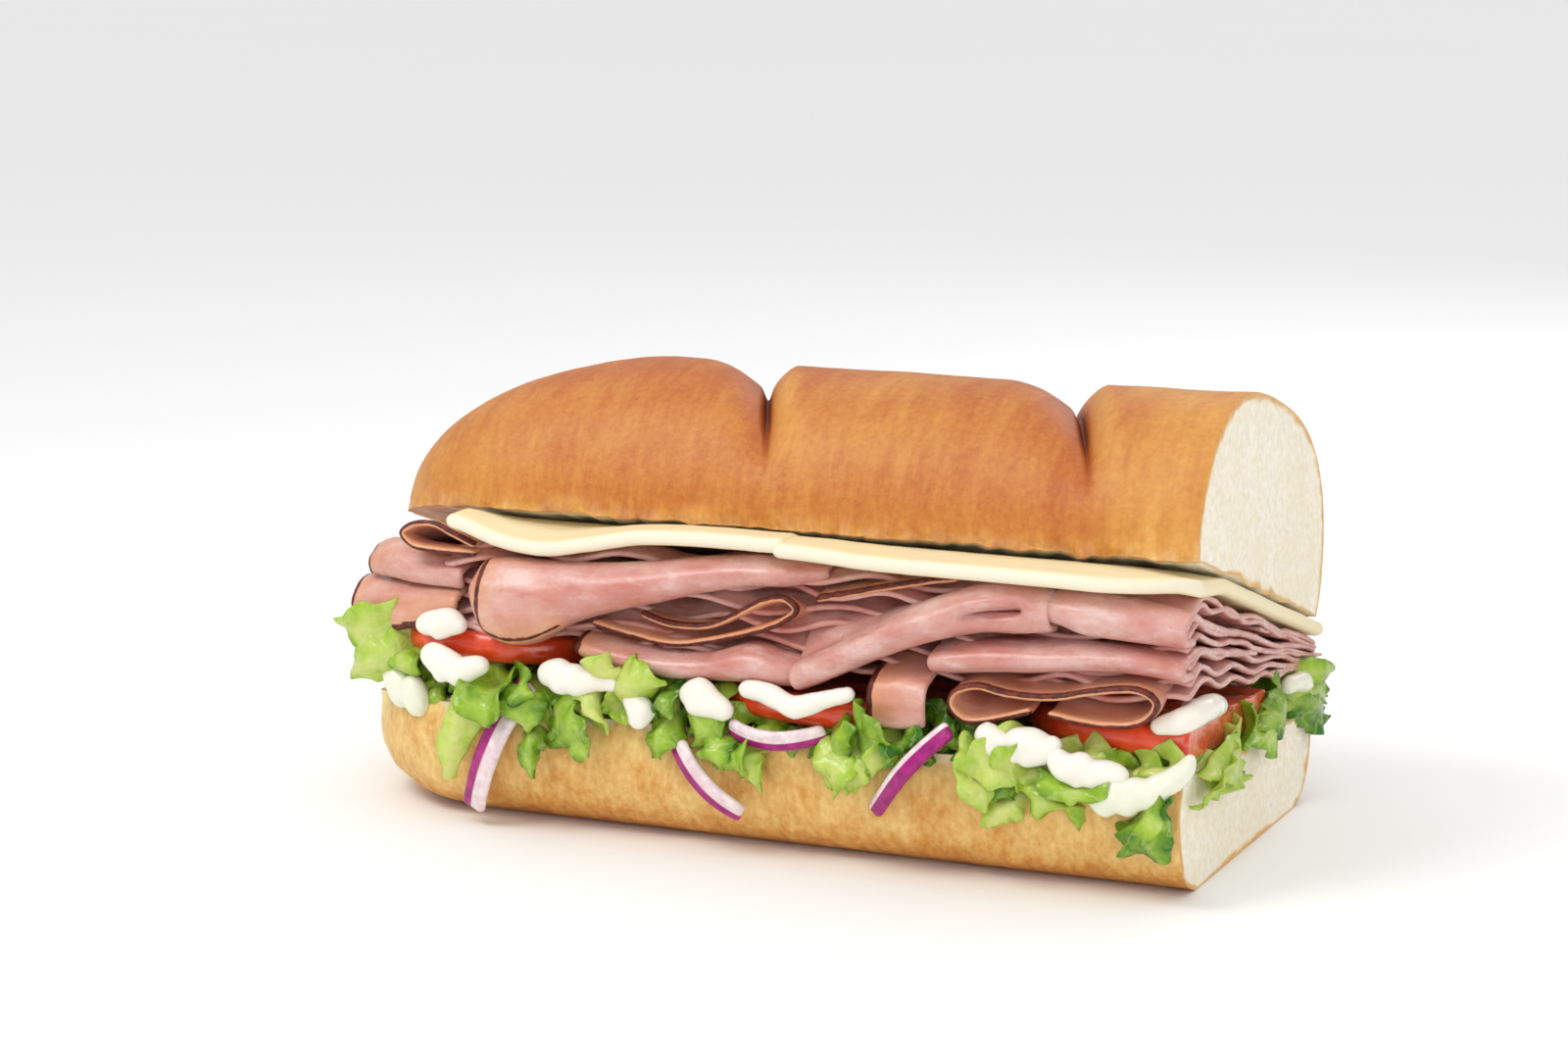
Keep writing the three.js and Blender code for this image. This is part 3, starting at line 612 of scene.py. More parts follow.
def in_end(x, y):
    """Place along the loaf, drawn in behind the rounded left end."""
    drawn = END_X + (x - END_X) * np.sqrt(1 - np.clip(y / END_HALF, 0, 1) ** 2)
    return np.where(x < END_X, drawn, x)


# Ham

TAIL_Y = -1.0  # where a slice that hangs over the front ends inside
SHOULDER = 4.6  # how far behind its front it starts to turn down


def drape(rows, roll, share):
    """Slice that hangs over the front: it comes forward, turns down, and may roll back under."""
    across = [curve([(r[0], r[i]) for r in rows]) for i in (1, 2, 3)]

    def place(u, v):
        top, low, front = (c(u)[..., 1] for c in across)
        line = []
        for t in (0, 0.36, 0.63, 0.82):
            y = lerp(TAIL_Y, front + SHOULDER, t)
            line.append((y, settle(top, y, share)))
        line += [(front + SHOULDER, top), (front + 1, lerp(top, low, 0.22)), (front, lerp(top, low, 0.55))]
        if roll:
            line += [(front + 1.4, lerp(top, low, 0.9)), (front + 4.4, low)]
        else:
            line += [(front + 0.4, low)]
        p = along_rows(np.stack([point(*row) for row in line]), v)
        return point(across[0](u)[..., 0], p[..., 0], p[..., 1])

    return place


def fold(outline, front, back, band):
    """Slice folded so that its rind shows: the outline runs back into its share of the band."""
    path = curve(outline)
    least, most = min(p[1] for p in outline), max(p[1] for p in outline)

    def place(u, v):
        p = path(u)
        y = lerp(front, back, v)
        share = lerp(band[0], band[1], (p[..., 1] - least) / (most - least))
        return point(in_end(p[..., 0], y), y, settle(p[..., 1], y, share))

    def thickness(u, v):
        y = lerp(front, back, v)
        room = (ham_high(y) - ham_low(y)) * (band[1] - band[0])
        return FOLDED_HAM_T * lerp(1, np.clip(room / (most - least), 0.5, 1), settled(y))

    return place, thickness


# Slices that start inside and end over the front:
# rows of x, top, low and front y, whether the foot rolls back, share of the band, borders with rind
DRAPES = {
    "ham_front_roll": ([
        (-48, 42.6, 37.6, -43.4), (-46.4, 44.4, 34, -44.8), (-43.6, 45, 32.2, -45.4),
        (-39.6, 45.2, 31.8, -45.6), (-35, 45.2, 33.2, -45.4), (-29.6, 45.4, 36.8, -45),
        (-22, 46, 39.4, -44.6), (-14, 46.8, 41.4, -44), (-6, 48, 43.6, -43.4), (2, 48.6, 45.2, -42.8),
        (8, 48.4, 45.6, -42), (14, 48, 46.6, -38)], True, 0.7, "lobe"),
    "ham_middle_roll": ([
        (11.4, 33.4, 29, -44.4), (16, 35.6, 31, -45), (22, 38.8, 33.8, -45), (28, 42, 36.6, -44.8),
        (35, 45, 39.2, -44.6), (42, 47.2, 40.8, -44), (48, 48, 41.2, -43.4),
        (53.4, 47.4, 41.8, -42.6)], True, 0.67, ""),
    "ham_right_roll": ([
        (51, 46.4, 43.4, -40.6), (55.6, 47.6, 43, -42.2), (60, 47.6, 42, -42.8), (68, 46.8, 41.4, -42.2),
        (75.6, 45, 40.8, -41)], True, 0.72, ""),
    "ham_right_face": ([
        (34.6, 37, 33.8, -42.8), (38, 37.6, 34.2, -43.2), (44, 38.4, 34.8, -43), (53, 39, 35.4, -42.8),
        (60, 39.4, 36.2, -42.4), (68, 39.4, 36.4, -41.8), (75.4, 38.6, 35.4, -40.6)], True, 0.46, ""),
    "ham_middle_face": ([
        (-29, 33.2, 30.6, -42), (-23, 32.8, 29.6, -43), (-13, 31.8, 28.9, -43.4), (-5, 32.4, 29.1, -43.4),
        (2, 34.4, 29.3, -43.4), (7.6, 33.2, 29.3, -43.4), (12.6, 32.6, 29.4, -42)], True, 0.05, "left"),
    "ham_flap": ([
        (24.6, 32.8, 25, -44), (29, 33, 25, -44.6), (33.4, 32.6, 25.4, -44.4)], False, 0.24, "left"),
    "ham_left_flap": ([
        (-76, 37.6, 31.6, -34), (-72, 38.2, 30.4, -36), (-64, 38.4, 32, -38.4),
        (-53.6, 38.8, 35.4, -40)], False, 0.36, "left end"),
    "ham_left_tongue": ([
        (-73.6, 43, 39.8, -32.4), (-70, 44.6, 40.2, -34.6), (-66.6, 44.4, 40.2, -36),
        (-62, 43.2, 40, -37.4), (-53, 43, 40, -39)], False, 0.6, "left"),
}

# Folded slices, from the front to the back:
# x and z of the outline, front y, back y, shares of the band, border with rind
FOLDS = {
    "ham_left_curl": ([
        (-50, 47.6), (-53.4, 49), (-57, 50.6), (-61, 50.4), (-63.6, 48.4), (-61.4, 46.3), (-56, 45.7),
        (-50, 45.7)], -39.4, 0, (0.84, 0.96), "start"),
    "ham_middle_curl": ([
        (-17, 38.6), (-11.6, 37.4), (-5, 37.8), (0, 40), (4.2, 42.4), (8, 43.3), (10.2, 41.6), (8, 39.6),
        (2.8, 37.4), (-5, 34.9), (-12, 33.9), (-19, 34.8), (-26, 36)], -41, -2, (0.23, 0.48), "start"),
    "ham_right_curl": ([
        (55, 28.9), (61, 28.2), (67.4, 28.4), (71, 30.2), (71.8, 32.4), (68.4, 33.9), (62, 33.1),
        (55, 31.6), (48, 31.4), (42.4, 32.2), (38.8, 30.9), (38.2, 28.6), (41, 26.8), (46, 27.6),
        (51, 29)], -43, -6, (0, 0.26), "start"),
    "ham_top_slice": ([
        (14, 43.4), (20, 44.8), (27, 46.6), (33, 48), (37.4, 48.8)], -40, 0, (0.87, 0.95), "start"),
    "ham_back_lower": ([
        (-66, 24), (-56, 26.4), (-46, 24.6), (-36, 23.2), (-22, 25.4), (-6, 23.4), (8, 25.6), (24, 23.8),
        (40, 25.8), (58, 23.6), (75.6, 24.6)], 3, 36, (0.02, 0.22), "end"),
    "ham_back_middle": ([
        (-70, 29), (-58, 27.4), (-44, 28.8), (-30, 27.2), (-14, 29.2), (4, 27.4), (22, 29.4), (40, 27.8),
        (58, 29.6), (76, 28)], 2, 37.4, (0.44, 0.6), "end"),
    "ham_back_upper": ([
        (-62, 31), (-48, 32.6), (-34, 31), (-18, 33), (-2, 31.2), (16, 33.2), (34, 31.4), (52, 33),
        (75.2, 31.8)], 2.6, 36.6, (0.82, 0.96), "end"),
}

TURNED_FOLDS = ("ham_left_curl", "ham_right_curl")  # their outlines run round the other way

# Opening of the large fold: its ends in x and z, and its depth
OPEN_FOLD = "ham_middle_roll"
SLIT_FROM, SLIT_TO, SLIT_DEEP = (37.0, 42.6), (49.5, 45.0), 4.2

# Inner layers of the pile, seen only in the gaps and at the knife cut.
# Share of the band, how far the lip hangs, length of a ripple, phase
INNER = [
    (0.1, 0.8, 21, 0.0), (0.26, 2.4, 17, 1.3), (0.42, 3.4, 24, 2.6), (0.58, 3.2, 19, 3.9),
    (0.74, 3.4, 26, 5.2), (0.9, 3.0, 18, 0.8), (1.02, 2.6, 22, 3.0),
]
NO_RIND, OFF_LOBE = 99.0, 60  # distances that keep the rind away


def slit(m):
    """How far the opening of the large fold sinks into its front, at points of the slice."""
    x, y, z = np.moveaxis(m, -1, 0)
    (x0, z0), (x1, z1) = SLIT_FROM, SLIT_TO
    above = z - lerp(z0, z1, (x - x0) / (x1 - x0))
    reach = ease(x0, x0 + 7, x) * (1 - ease(x1 - 1, x1 + 1, x)) * ease(-40, -42, y)
    sunk = SLIT_DEEP * np.exp(-(above / 0.75) ** 2)
    lip = 0.6 * np.exp(-((above - 1.5) / 0.8) ** 2)
    return reach * (sunk - lip)


def ham_arrays(place, grid, thickness, rind="", wide=0.0, outer=0, opening=False):
    """Slice of ham. Its rind lies along the named borders, on one half of the edge unless outer is 0."""
    def creases(m, u, v):
        lengthwise = m * (0.3, 1, 1)
        waves = 0.26 * noise(lengthwise, 5, 71) + 0.14 * noise(lengthwise, 2.2, 73)
        waves += 0.05 * noise(m, 2, 72)
        return waves + slit(m) if opening else waves

    points, faces, (u, v, side, left, right, start, end) = slab(place, grid, thickness, creases)
    foot = np.abs(v - 0.87) * (start + end) + OFF_LOBE * ease(0.42, 0.5, u) + OFF_LOBE * ease(0.12, 0.08, u)
    cheek = np.abs(u - 0.11) * (left + right) + OFF_LOBE * ease(0.5, 0.42, v) + OFF_LOBE * ease(0.86, 0.9, v)
    borders = dict(left=left, right=right, start=start, end=end, lobe=np.minimum(foot, cheek))
    edges = [borders[key] for key in rind.split()]
    nearest = np.min(edges, axis=0) if edges else np.full(len(u), NO_RIND)
    ragged = nearest - wide + 0.2 * noise(points, 1.6, 74)
    dark = (1 - ease(0.1, 0.6, ragged)) * (ease(-0.5, 0.2, outer * side) if outer else 1)
    return points, faces, dict(rind=dark, tan=0.75 * np.exp(-nearest / 5))


def hanging(u, v):
    """Thickness of a slice that hangs over the front, thinner inside."""
    return HAM_T * lerp(0.65, 1, np.clip(v * 3, 0, 1))


def inner(share, lip, wave, phase):
    """Inner layer of the pile, from its lip at the front to the back."""
    def place(u, v):
        x = lerp(-70 + 16 * ease(0.5, 1, share), CUT_X - 0.5, u)
        front = -37.8 + 1.2 * np.sin(x / 6 + phase) + 5 * ease(-50, -72, x)
        y = lerp(front, 34, v ** 1.5)
        ripple = 0.05 * np.sin(2 * np.pi * x / wave + phase + 0.04 * y)
        ripple = ripple + 0.05 * np.sin(y / (2.6 + 0.5 * phase) + 9 * phase) * ease(50, CUT_X, x)
        hang = lip * (1 - ease(0, 6.5, y - front))
        return point(in_end(x, y), y, in_band(y, share + ripple) - hang)

    return place


for name, (rows, roll, share, rind) in DRAPES.items():
    place = drape(rows, roll, share)
    opening = name == OPEN_FOLD
    dress(name, "ham", HAM, *ham_arrays(place, DRAPE_GRID, hanging, rind, wide=0.35, opening=opening))
for name, (outline, front, back, band, rind) in FOLDS.items():
    place, thickness = fold(outline, front, back, band)
    outer = -1 if name in TURNED_FOLDS else 1
    dress(name, "ham", HAM, *ham_arrays(place, FOLD_GRID, thickness, rind, outer=outer))
points, faces, fields = join([ham_arrays(inner(*row), INNER_GRID, INNER_HAM_T) for row in INNER])
settle_piece(make("ham_inner_look", points, faces, HAM, **fields), "ham")


# Cheese: left and right x, front and back y, how far the corner at the cut is set back, sag along the front
CHEESES = {
    "cheese_right": (
        8.4, CUT_X, -43, 34, 8, [(0, 0.6), (0.2, 1.4), (0.4, 1.6), (0.6, 1.6), (0.8, 1.9), (1, 2.2)]),
    "cheese_left": (-52, 7.6, -42, 34.6, 0, [
        (0, 0.3), (0.14, 2.8), (0.28, 3.8), (0.43, 2.4), (0.57, 0.6), (0.71, 0.1), (0.86, 0), (1, 0)]),
}
CHEESE_ROOM = 0.8  # between the bread and the cheese


def cheese(x0, x1, front, back, corner, sag):
    """Slice that lies under the upper half and sags at its front."""
    drop = curve(sag)

    def place(u, v):
        edge = front + corner * np.clip((u - 0.76) / 0.24, 0, 1) ** 2
        y = lerp(edge, back, v)
        under = ceiling_at(y) - CHEESE_ROOM - CHEESE_T / 2
        hang = drop(u)[..., 1] * (1 - ease(0, 16, y - edge))
        return point(in_end(lerp(x0, x1, u), y), y, under - hang)

    return place


def cheese_ripple(m, u, v):
    return 0.14 * noise(m, 11, 81) + 0.05 * noise(m, 2.5, 82)


for name, values in CHEESES.items():
    points, faces, (u, v, side, *_) = slab(cheese(*values), CHEESE_GRID, CHEESE_T, cheese_ripple)
    # edge: mask of the cut edge, which the material paints paler as painted light.
    dress(name, "cheese", CHEESE, points, faces, dict(edge=np.sqrt(1 - side ** 2)))


# Tomato: x, y and z of the centre, radius, tip about X and about Y
TOMATOES = {
    "tomato_left": (-50.4, -20, 28, 21, -0.1, 0.03), "tomato_middle": (12, -18, 23.6, 25, -0.06, 0.05),
    "tomato_right": (66, -16, 23.8, 24, -0.06, 0.02), "tomato_back_left": (-18, 15, 21.4, 19, -0.1, 0),
    "tomato_back_right": (34, 17.6, 21.2, 16, -0.1, 0),
}
TOMATO_EDGE = 1.8  # how far the skin bulges past the flat of a slice
CHAMBERS = 5  # places for gel round a slice


def tomato(name, x, y, z, radius, tip_x, tip_y):
    """Slice with a bulging skin and sunken gel, cut off at the knife cut."""
    angle = np.linspace(0, 2 * np.pi, 132, endpoint=False)
    half = TOMATO_T / 2
    bulge = np.radians(np.linspace(-90, 90, 13))[1:-1]
    edge = radius - TOMATO_EDGE
    disc = np.linspace(0.02, 1, 26) * edge
    flat = np.ones_like(disc)
    r = np.concatenate([disc, edge + TOMATO_EDGE * np.cos(bulge), disc[::-1]])
    h = np.concatenate([-half * flat, half * np.sin(bulge), half * flat])
    rim = np.concatenate([0 * flat, np.ones_like(bulge), 0 * flat])[:, None]
    R, A = np.meshgrid(r, angle, indexing="ij")
    wobble = 1 + 0.015 * np.sin(CHAMBERS * A) + 0.01 * np.sin(3 * A + 1)
    p = point(R * wobble * np.cos(A), R * wobble * np.sin(A), h[:, None])
    share = R / radius
    gel = ease(0.25, 0.7, np.cos(CHAMBERS * A)) * ease(0.3, 0.42, share)
    gel = gel * (1 - ease(0.74, 0.84, share)) * (1 - rim)
    p[..., 2] -= np.sign(h)[:, None] * gel * 0.7
    p[..., 2] += 0.15 * noise(p + 7, 2.4, 91) * (1 - rim)
    turn = Matrix.Rotation(tip_y, 3, "Y") @ Matrix.Rotation(tip_x, 3, "X")
    p = p @ np.array(turn).T + (x, y, z)
    skin = (rim > 0.5) & (p[..., 0] <= CUT_X)
    p[..., 0] = np.minimum(p[..., 0], CUT_X + 0.15 * noise(p, 3, 92))
    points = p.reshape(-1, 3)
    faces = facing_out(points, grid_faces(len(r), len(angle), True), np.array([x, y, z]))
    dress(name, "tomato", TOMATO, points, faces, dict(skin=skin, gel=gel))


for name, values in TOMATOES.items():
    tomato(name, *values)


# Onion strips: root, tip, bow, width, and the shares across between which the purple skin lies
ONIONS = {
    "onion_left": ((-38, -43, 24.6), (-48, -43.6, 3.6), (-1.6, -4.6, 0.6), 5, 0.52, 1.2),
    "onion_middle": ((-9, -44.8, 17.6), (1.4, -44.2, 7.6), (-0.6, -3.4, -1), 3.8, 0.5, 1.2),
    "onion_arc": ((0.4, -43.8, 21.6), (16, -43.8, 22), (0, -4.4, -2.2), 3.4, 0.52, 1.2),
    "onion_right": ((38.4, -45.8, 25), (26, -44.6, 10.8), (-1, -4, 0.6), 3.2, -0.2, 0.78),
}


def onion(root, tip, bow, width):
    """Strip that bows out between its root and its tip."""
    root, tip, bow = map(np.array, (root, tip, bow))
    middle = (root + tip) / 2 + bow

    def place(u, v):
        w = u[..., None]
        p = (1 - w) ** 2 * root + 2 * w * (1 - w) * middle + w ** 2 * tip
        along = unit(2 * (1 - w) * (middle - root) + 2 * w * (tip - middle))
        side = (v - 0.5) * width
        return p + point(side * along[..., 2], side * 0.35, -side * along[..., 0])

    return place


def onion_bend(m, u, v):
    return 0.25 * noise(m, 6, 95)


for name, (root, tip, bow, width, low, high) in ONIONS.items():
    place = onion(root, tip, bow, width - ONION_T)
    points, faces, (u, v, *_) = slab(place, ONION_GRID, ONION_T, onion_bend)
    skin = ease(low - 0.05, low + 0.05, v) * (1 - ease(high - 0.05, high + 0.05, v))
    dress(name, "onion", ONION, points, faces, dict(skin=skin))


# Mayonnaise: balls of x, y, z and radius that run together
BLOBS = {
    "mayo_far_left": [
        (-66.6, -37.6, 23, 1.9), (-65.2, -38.2, 21.4, 2.2), (-64.4, -38.6, 19.8, 1.9),
        (-61.8, -39.6, 21.8, 1.7), (-60.8, -40.2, 20, 2.1), (-60.2, -40.4, 18.6, 1.7)],
    "mayo_left": [
        (-56, -43, 28.4, 1.9), (-54, -43.6, 27.6, 2.3), (-52, -44, 27.2, 2.1), (-50.4, -44.4, 25.6, 1.6),
        (-48.6, -44, 27, 1.7), (-46.4, -43.6, 27.6, 1.3), (-53.6, -44.4, 25.6, 1.3)],
    "mayo_tomato_left": [
        (-58.6, -40.8, 33, 1.4), (-57, -41.4, 33.6, 1.8), (-55, -41.8, 34, 2.1), (-53, -42, 34.4, 1.9),
        (-51.4, -42, 33.8, 1.3), (-55.4, -42, 32.4, 1.2)],
    "mayo_centre_left": [
        (-33.4, -43.8, 27.4, 1.7), (-31.2, -44, 28, 2), (-31, -44.4, 26.4, 1.9), (-28.4, -44.4, 27.4, 2),
        (-27.8, -44.8, 26, 1.5), (-25, -44.4, 27.2, 1.4), (-22.4, -44.4, 27.2, 1.3),
        (-20.8, -44.4, 26.8, 1)],
    "mayo_drop": [
        (-17.4, -44.6, 24.6, 1.6), (-16, -45, 23.4, 1.9), (-14.8, -44.8, 23, 1.2), (-16.2, -45, 21.6, 1.4)],
    "mayo_centre": [
        (-7.2, -44.2, 26.6, 1.8), (-5.6, -44.2, 27.4, 1.8), (-4.4, -44.4, 26.2, 2.1),
        (-6, -44.8, 24.8, 1.4), (-2.6, -44.6, 25.2, 1.8), (-1, -44.6, 24.4, 1.5)],
    "mayo_tomato_middle": [
        (2.8, -43.8, 28.2, 1.1), (5, -44.2, 28.2, 1.3), (7.4, -44.6, 27.8, 1.4), (9.8, -45, 27, 1.3),
        (11.8, -45.2, 26.2, 1.4), (13.8, -45, 26.8, 1.3), (16, -44.6, 27.6, 1.2),
        (18.4, -44.4, 28.4, 1.1), (20.8, -44.2, 29, 1)],
    "mayo_right": [
        (44.8, -44.6, 25, 1.7), (46.4, -45, 23.6, 2), (48.6, -45.2, 22.4, 1.6), (50.4, -45, 24.4, 2.1),
        (52.8, -45, 24.8, 1.9), (54.6, -45, 23.4, 1.8), (52, -45.4, 22.2, 1.5), (56, -44.8, 24.4, 1.2)],
    "mayo_right_low": [
        (57, -45.4, 22.4, 1.5), (58.6, -45.6, 20.8, 1.8), (60.8, -45.4, 21.8, 1.8),
        (62.4, -45.6, 20.2, 1.6), (64.6, -45.2, 21, 1.7), (67, -45, 20.6, 1.3), (60.2, -45.6, 19.4, 1.2)],
    "mayo_corner": [
        (63.6, -45.2, 17.4, 1.7), (65, -45.2, 15.8, 1.8), (66.8, -45.2, 18, 1.9), (68.4, -45.2, 16, 1.5),
        (69.8, -45, 18.2, 2.1), (72.4, -44.4, 17.6, 1.7), (73, -44.2, 19.2, 1.8), (75, -43, 20, 1.6),
        (76.6, -41.4, 21.6, 1.3), (77, -40.2, 23, 1)],
    "mayo_cut": [
        (71.6, -39.8, 27.8, 1.3), (73.8, -38.8, 28.4, 1.6), (75.8, -37, 29, 1.8),
        (76.6, -33.6, 29.4, 1.8), (76.8, -30, 29.2, 1.7), (76.6, -26.8, 28.8, 1.5),
        (76.4, -23.8, 28.2, 1.2), (74.8, -34, 29.6, 1.5)],
}
THIN_BLOBS = ("mayo_far_left", "mayo_corner")
# A smear on the knife cut near the back
SMEAR = [
    (76.2, 17, 22.8, 1.1), (76.4, 20, 22.8, 1.3), (76.5, 23.4, 22.2, 1.5), (76.4, 27, 21.2, 1.5),
    (76.2, 30.4, 20, 1.3), (76, 33.6, 19, 1.1),
]
BALL_ROWS, BALL_COLUMNS = 15, 22
LINK_REACH, LINK_SWELL = 4.5, 1.04  # balls this near get links between them, a little thicker
MAYO_VOXEL = 0.36


def ball(x, y, z, r):
    tilt = np.linspace(0.02, np.pi - 0.02, BALL_ROWS)[:, None]
    turn = np.linspace(0, 2 * np.pi, BALL_COLUMNS, endpoint=False)
    way = point(np.sin(tilt) * np.cos(turn), 0.9 * np.sin(tilt) * np.sin(turn), np.cos(tilt))
    p = way * r + (x, y, z)
    return p.reshape(-1, 3), grid_faces(BALL_ROWS, BALL_COLUMNS, True), {}


def run_together(name, balls, material):
    """Balls fused into one smooth, slightly uneven skin."""
    rows = [np.array(b) for b in balls]
    pairs = [(a, b) for a, b in zip(rows, rows[1:]) if np.linalg.norm((a - b)[:3]) < LINK_REACH]
    links = [lerp(a, b, t) * (1, 1, 1, LINK_SWELL) for a, b in pairs for t in (0.33, 0.67)]
    points, faces, _ = join([ball(*b) for b in rows + links])
    piece = make(name, points, faces, material)
    melt = piece.modifiers.new("melt", "REMESH")
    melt.mode, melt.voxel_size = "VOXEL", MAYO_VOXEL * MM
    smooth = piece.modifiers.new("smooth", "SMOOTH")
    smooth.factor, smooth.iterations = 0.6, 26
    mesh = bpy.data.meshes.new_from_object(piece.evaluated_get(bpy.context.evaluated_depsgraph_get()))
    piece.modifiers.clear()
    piece.data = mesh
    p, n = np.empty(len(mesh.vertices) * 3), np.empty(len(mesh.vertices) * 3)
    mesh.vertices.foreach_get("co", p)
    mesh.vertices.foreach_get("normal", n)
    p, n = p.reshape(-1, 3) / MM, n.reshape(-1, 3)
    p += n * (0.5 + 0.25 * noise(p, 3.2, 101) + 0.04 * noise(p, 1.3, 102))[:, None]
    mesh.vertices.foreach_set("co", (p * MM).ravel())
    mesh.shade_smooth()
    mesh.update()
    return piece


for name, balls in BLOBS.items():
    material = MAYO_THIN if name in THIN_BLOBS else MAYO
    settle_piece(run_together(name + "_look", balls, material), "mayonnaise", name)
settle_piece(run_together("mayo_smear_look", SMEAR, MAYO_THIN), "mayonnaise")


# Lettuce: a core on the lower split, torn leaves that hang where they show, and a fringe round the rest

# Leaves at the front: x and z of the root and of the tip, width, how dark
FRONT_LEAVES = [
    (-62, 30, -77, 31, 11, 0.35), (-61, 28, -75, 23, 10, 0.3), (-64, 28, -63, 23, 7, 0.55),
    (-60, 25, -49, 21, 5, 0.8), (-44, 25.6, -44, 18, 9, 0.6), (-47, 28, -52, 8, 6.5, 0.15),
    (-41, 26, -36, 24, 6, 0.75), (-37, 26, -37, 18, 8, 0.65), (-36, 20, -36, 10, 4, 0.7),
    (-34, 24, -26, 14, 9, 0.6), (-24, 25, -26, 22, 9, 0.2), (-25, 26, -11, 28, 8, 0.3),
    (-24, 27, -21, 32, 6, 0.15), (-14, 28, -10, 23, 8, 0.85), (-9, 25, -2, 18, 11, 0.6),
    (-11, 23, -13, 15, 6, 0.65), (-2, 21, -1, 15, 6, 0.55), (0, 20, 6, 12, 6, 0.35),
    (1, 20, 4, 14, 5, 0.5), (17, 23, 21, 18, 8, 0.6), (21, 23, 30, 20, 10, 0.6), (20, 21, 19, 13, 7, 0.3),
    (22, 21, 22, 13, 6, 0.2), (29, 24, 26, 17, 4, 0.3), (30, 24, 31, 21, 7, 0.9),
    (44.5, 24, 43, 18, 6.5, 0.3), (50, 23, 42, 19, 8, 0.2), (43, 21, 45, 13, 6, 0.2),
    (53, 22, 47, 20, 8, 0.35), (52, 18, 47, 15, 7, 0.9), (52, 17, 45, 10, 5.5, 0.2),
    (56, 20, 54, 13, 13, 0.5), (60, 20, 60, 16, 11, 0.5), (68, 17, 75, 8, 11, 0.85),
    (68, 16, 75, 13, 9, 0.6),
]
# Leaves over the knife cut: y and z of the root and of the tip, width, how dark
CUT_LEAVES = [
    (-14, 21, -38, 15, 7, 0.2), (-32, 20, -11, 14, 6, 0.2), (-12, 20, -35, 19, 8, 0.25),
    (-5, 24, -14, 19, 8, 0.6), (10, 19, -11, 19, 7, 0.5), (14, 22, -5, 20, 8, 0.75),
    (20, 20, 37, 14, 8, 0.85), (20, 21, 38, 16, 6, 0.6), (20, 24, 38, 22, 4, 0.55),
]


def leaf(root, knee, tip, width, tone, seed, outwards):
    """Torn leaf from its root over a knee to its tip: wavy, frilled at its edges, pale along its rib."""
    root, knee, tip, outwards = (np.array(p, float) for p in (root, knee, tip, outwards))
    draw = np.random.default_rng(seed)
    phase = draw.uniform(0, 6.3, 4)
    twist, frill, cup = draw.uniform(-0.9, 0.9), draw.uniform(0.3, 0.9), draw.uniform(-0.1, 0.3)
    crease = draw.choice([-1, 1]) * draw.uniform(0.1, 0.24)
    length = np.linalg.norm(knee - root) + np.linalg.norm(tip - knee)
    waves = length / draw.uniform(3.4, 5)

    def place(u, v):
        w = u[..., None]
        path = (1 - w) ** 2 * root + 2 * w * (1 - w) * (2 * knee - (root + tip) / 2) + w ** 2 * tip
        along = unit(np.gradient(path, axis=0))
        side = unit(np.cross(along, outwards))
        up = unit(np.cross(side, along))
        angle = (twist * (u - 0.3))[..., None]
        side, up = side * np.cos(angle) + up * np.sin(angle), up * np.cos(angle) - side * np.sin(angle)
        shape = ease(-0.3, 0.3, u) * (1 - 0.8 * ease(0.62, 1.0, u) ** 2)
        half = np.where(v > 0.5, 1.0, -1.0)
        ragged = 1 + 0.16 * np.sin(8 * u + phase[0] + half) + 0.1 * np.sin(17 * u + phase[1] - 2 * half)
        across = (v - 0.5) * width * shape * ragged
        rim = np.abs(2 * v - 1)
        wave = frill * rim ** 2 * np.sin(2 * np.pi * waves * u + phase[2] + 1.2 * half)
        body = 0.8 * np.sin(4 * u + 3 * v + phase[3]) - width * shape * (cup * rim ** 1.5 + crease * rim)
        return path + side * across[..., None] + up * (wave + body)[..., None]

    def crinkle(m, u, v):
        return 0.24 * noise(m, 2.6, seed) + 0.12 * noise(m, 1.2, seed + 1)

    points, faces, (u, v, *_) = slab(place, LEAF_GRID, LEAF_T, crinkle, rounded=False)
    rim = np.abs(2 * v - 1)
    rib = np.exp(-((v - 0.5) / 0.09) ** 2) * (1 - 0.7 * u) * (0.9 - 0.6 * tone)
    return points, faces, dict(tone=np.clip(tone + 0.3 * (rim - 0.45) * (0.3 + u), 0, 1), rib=rib)


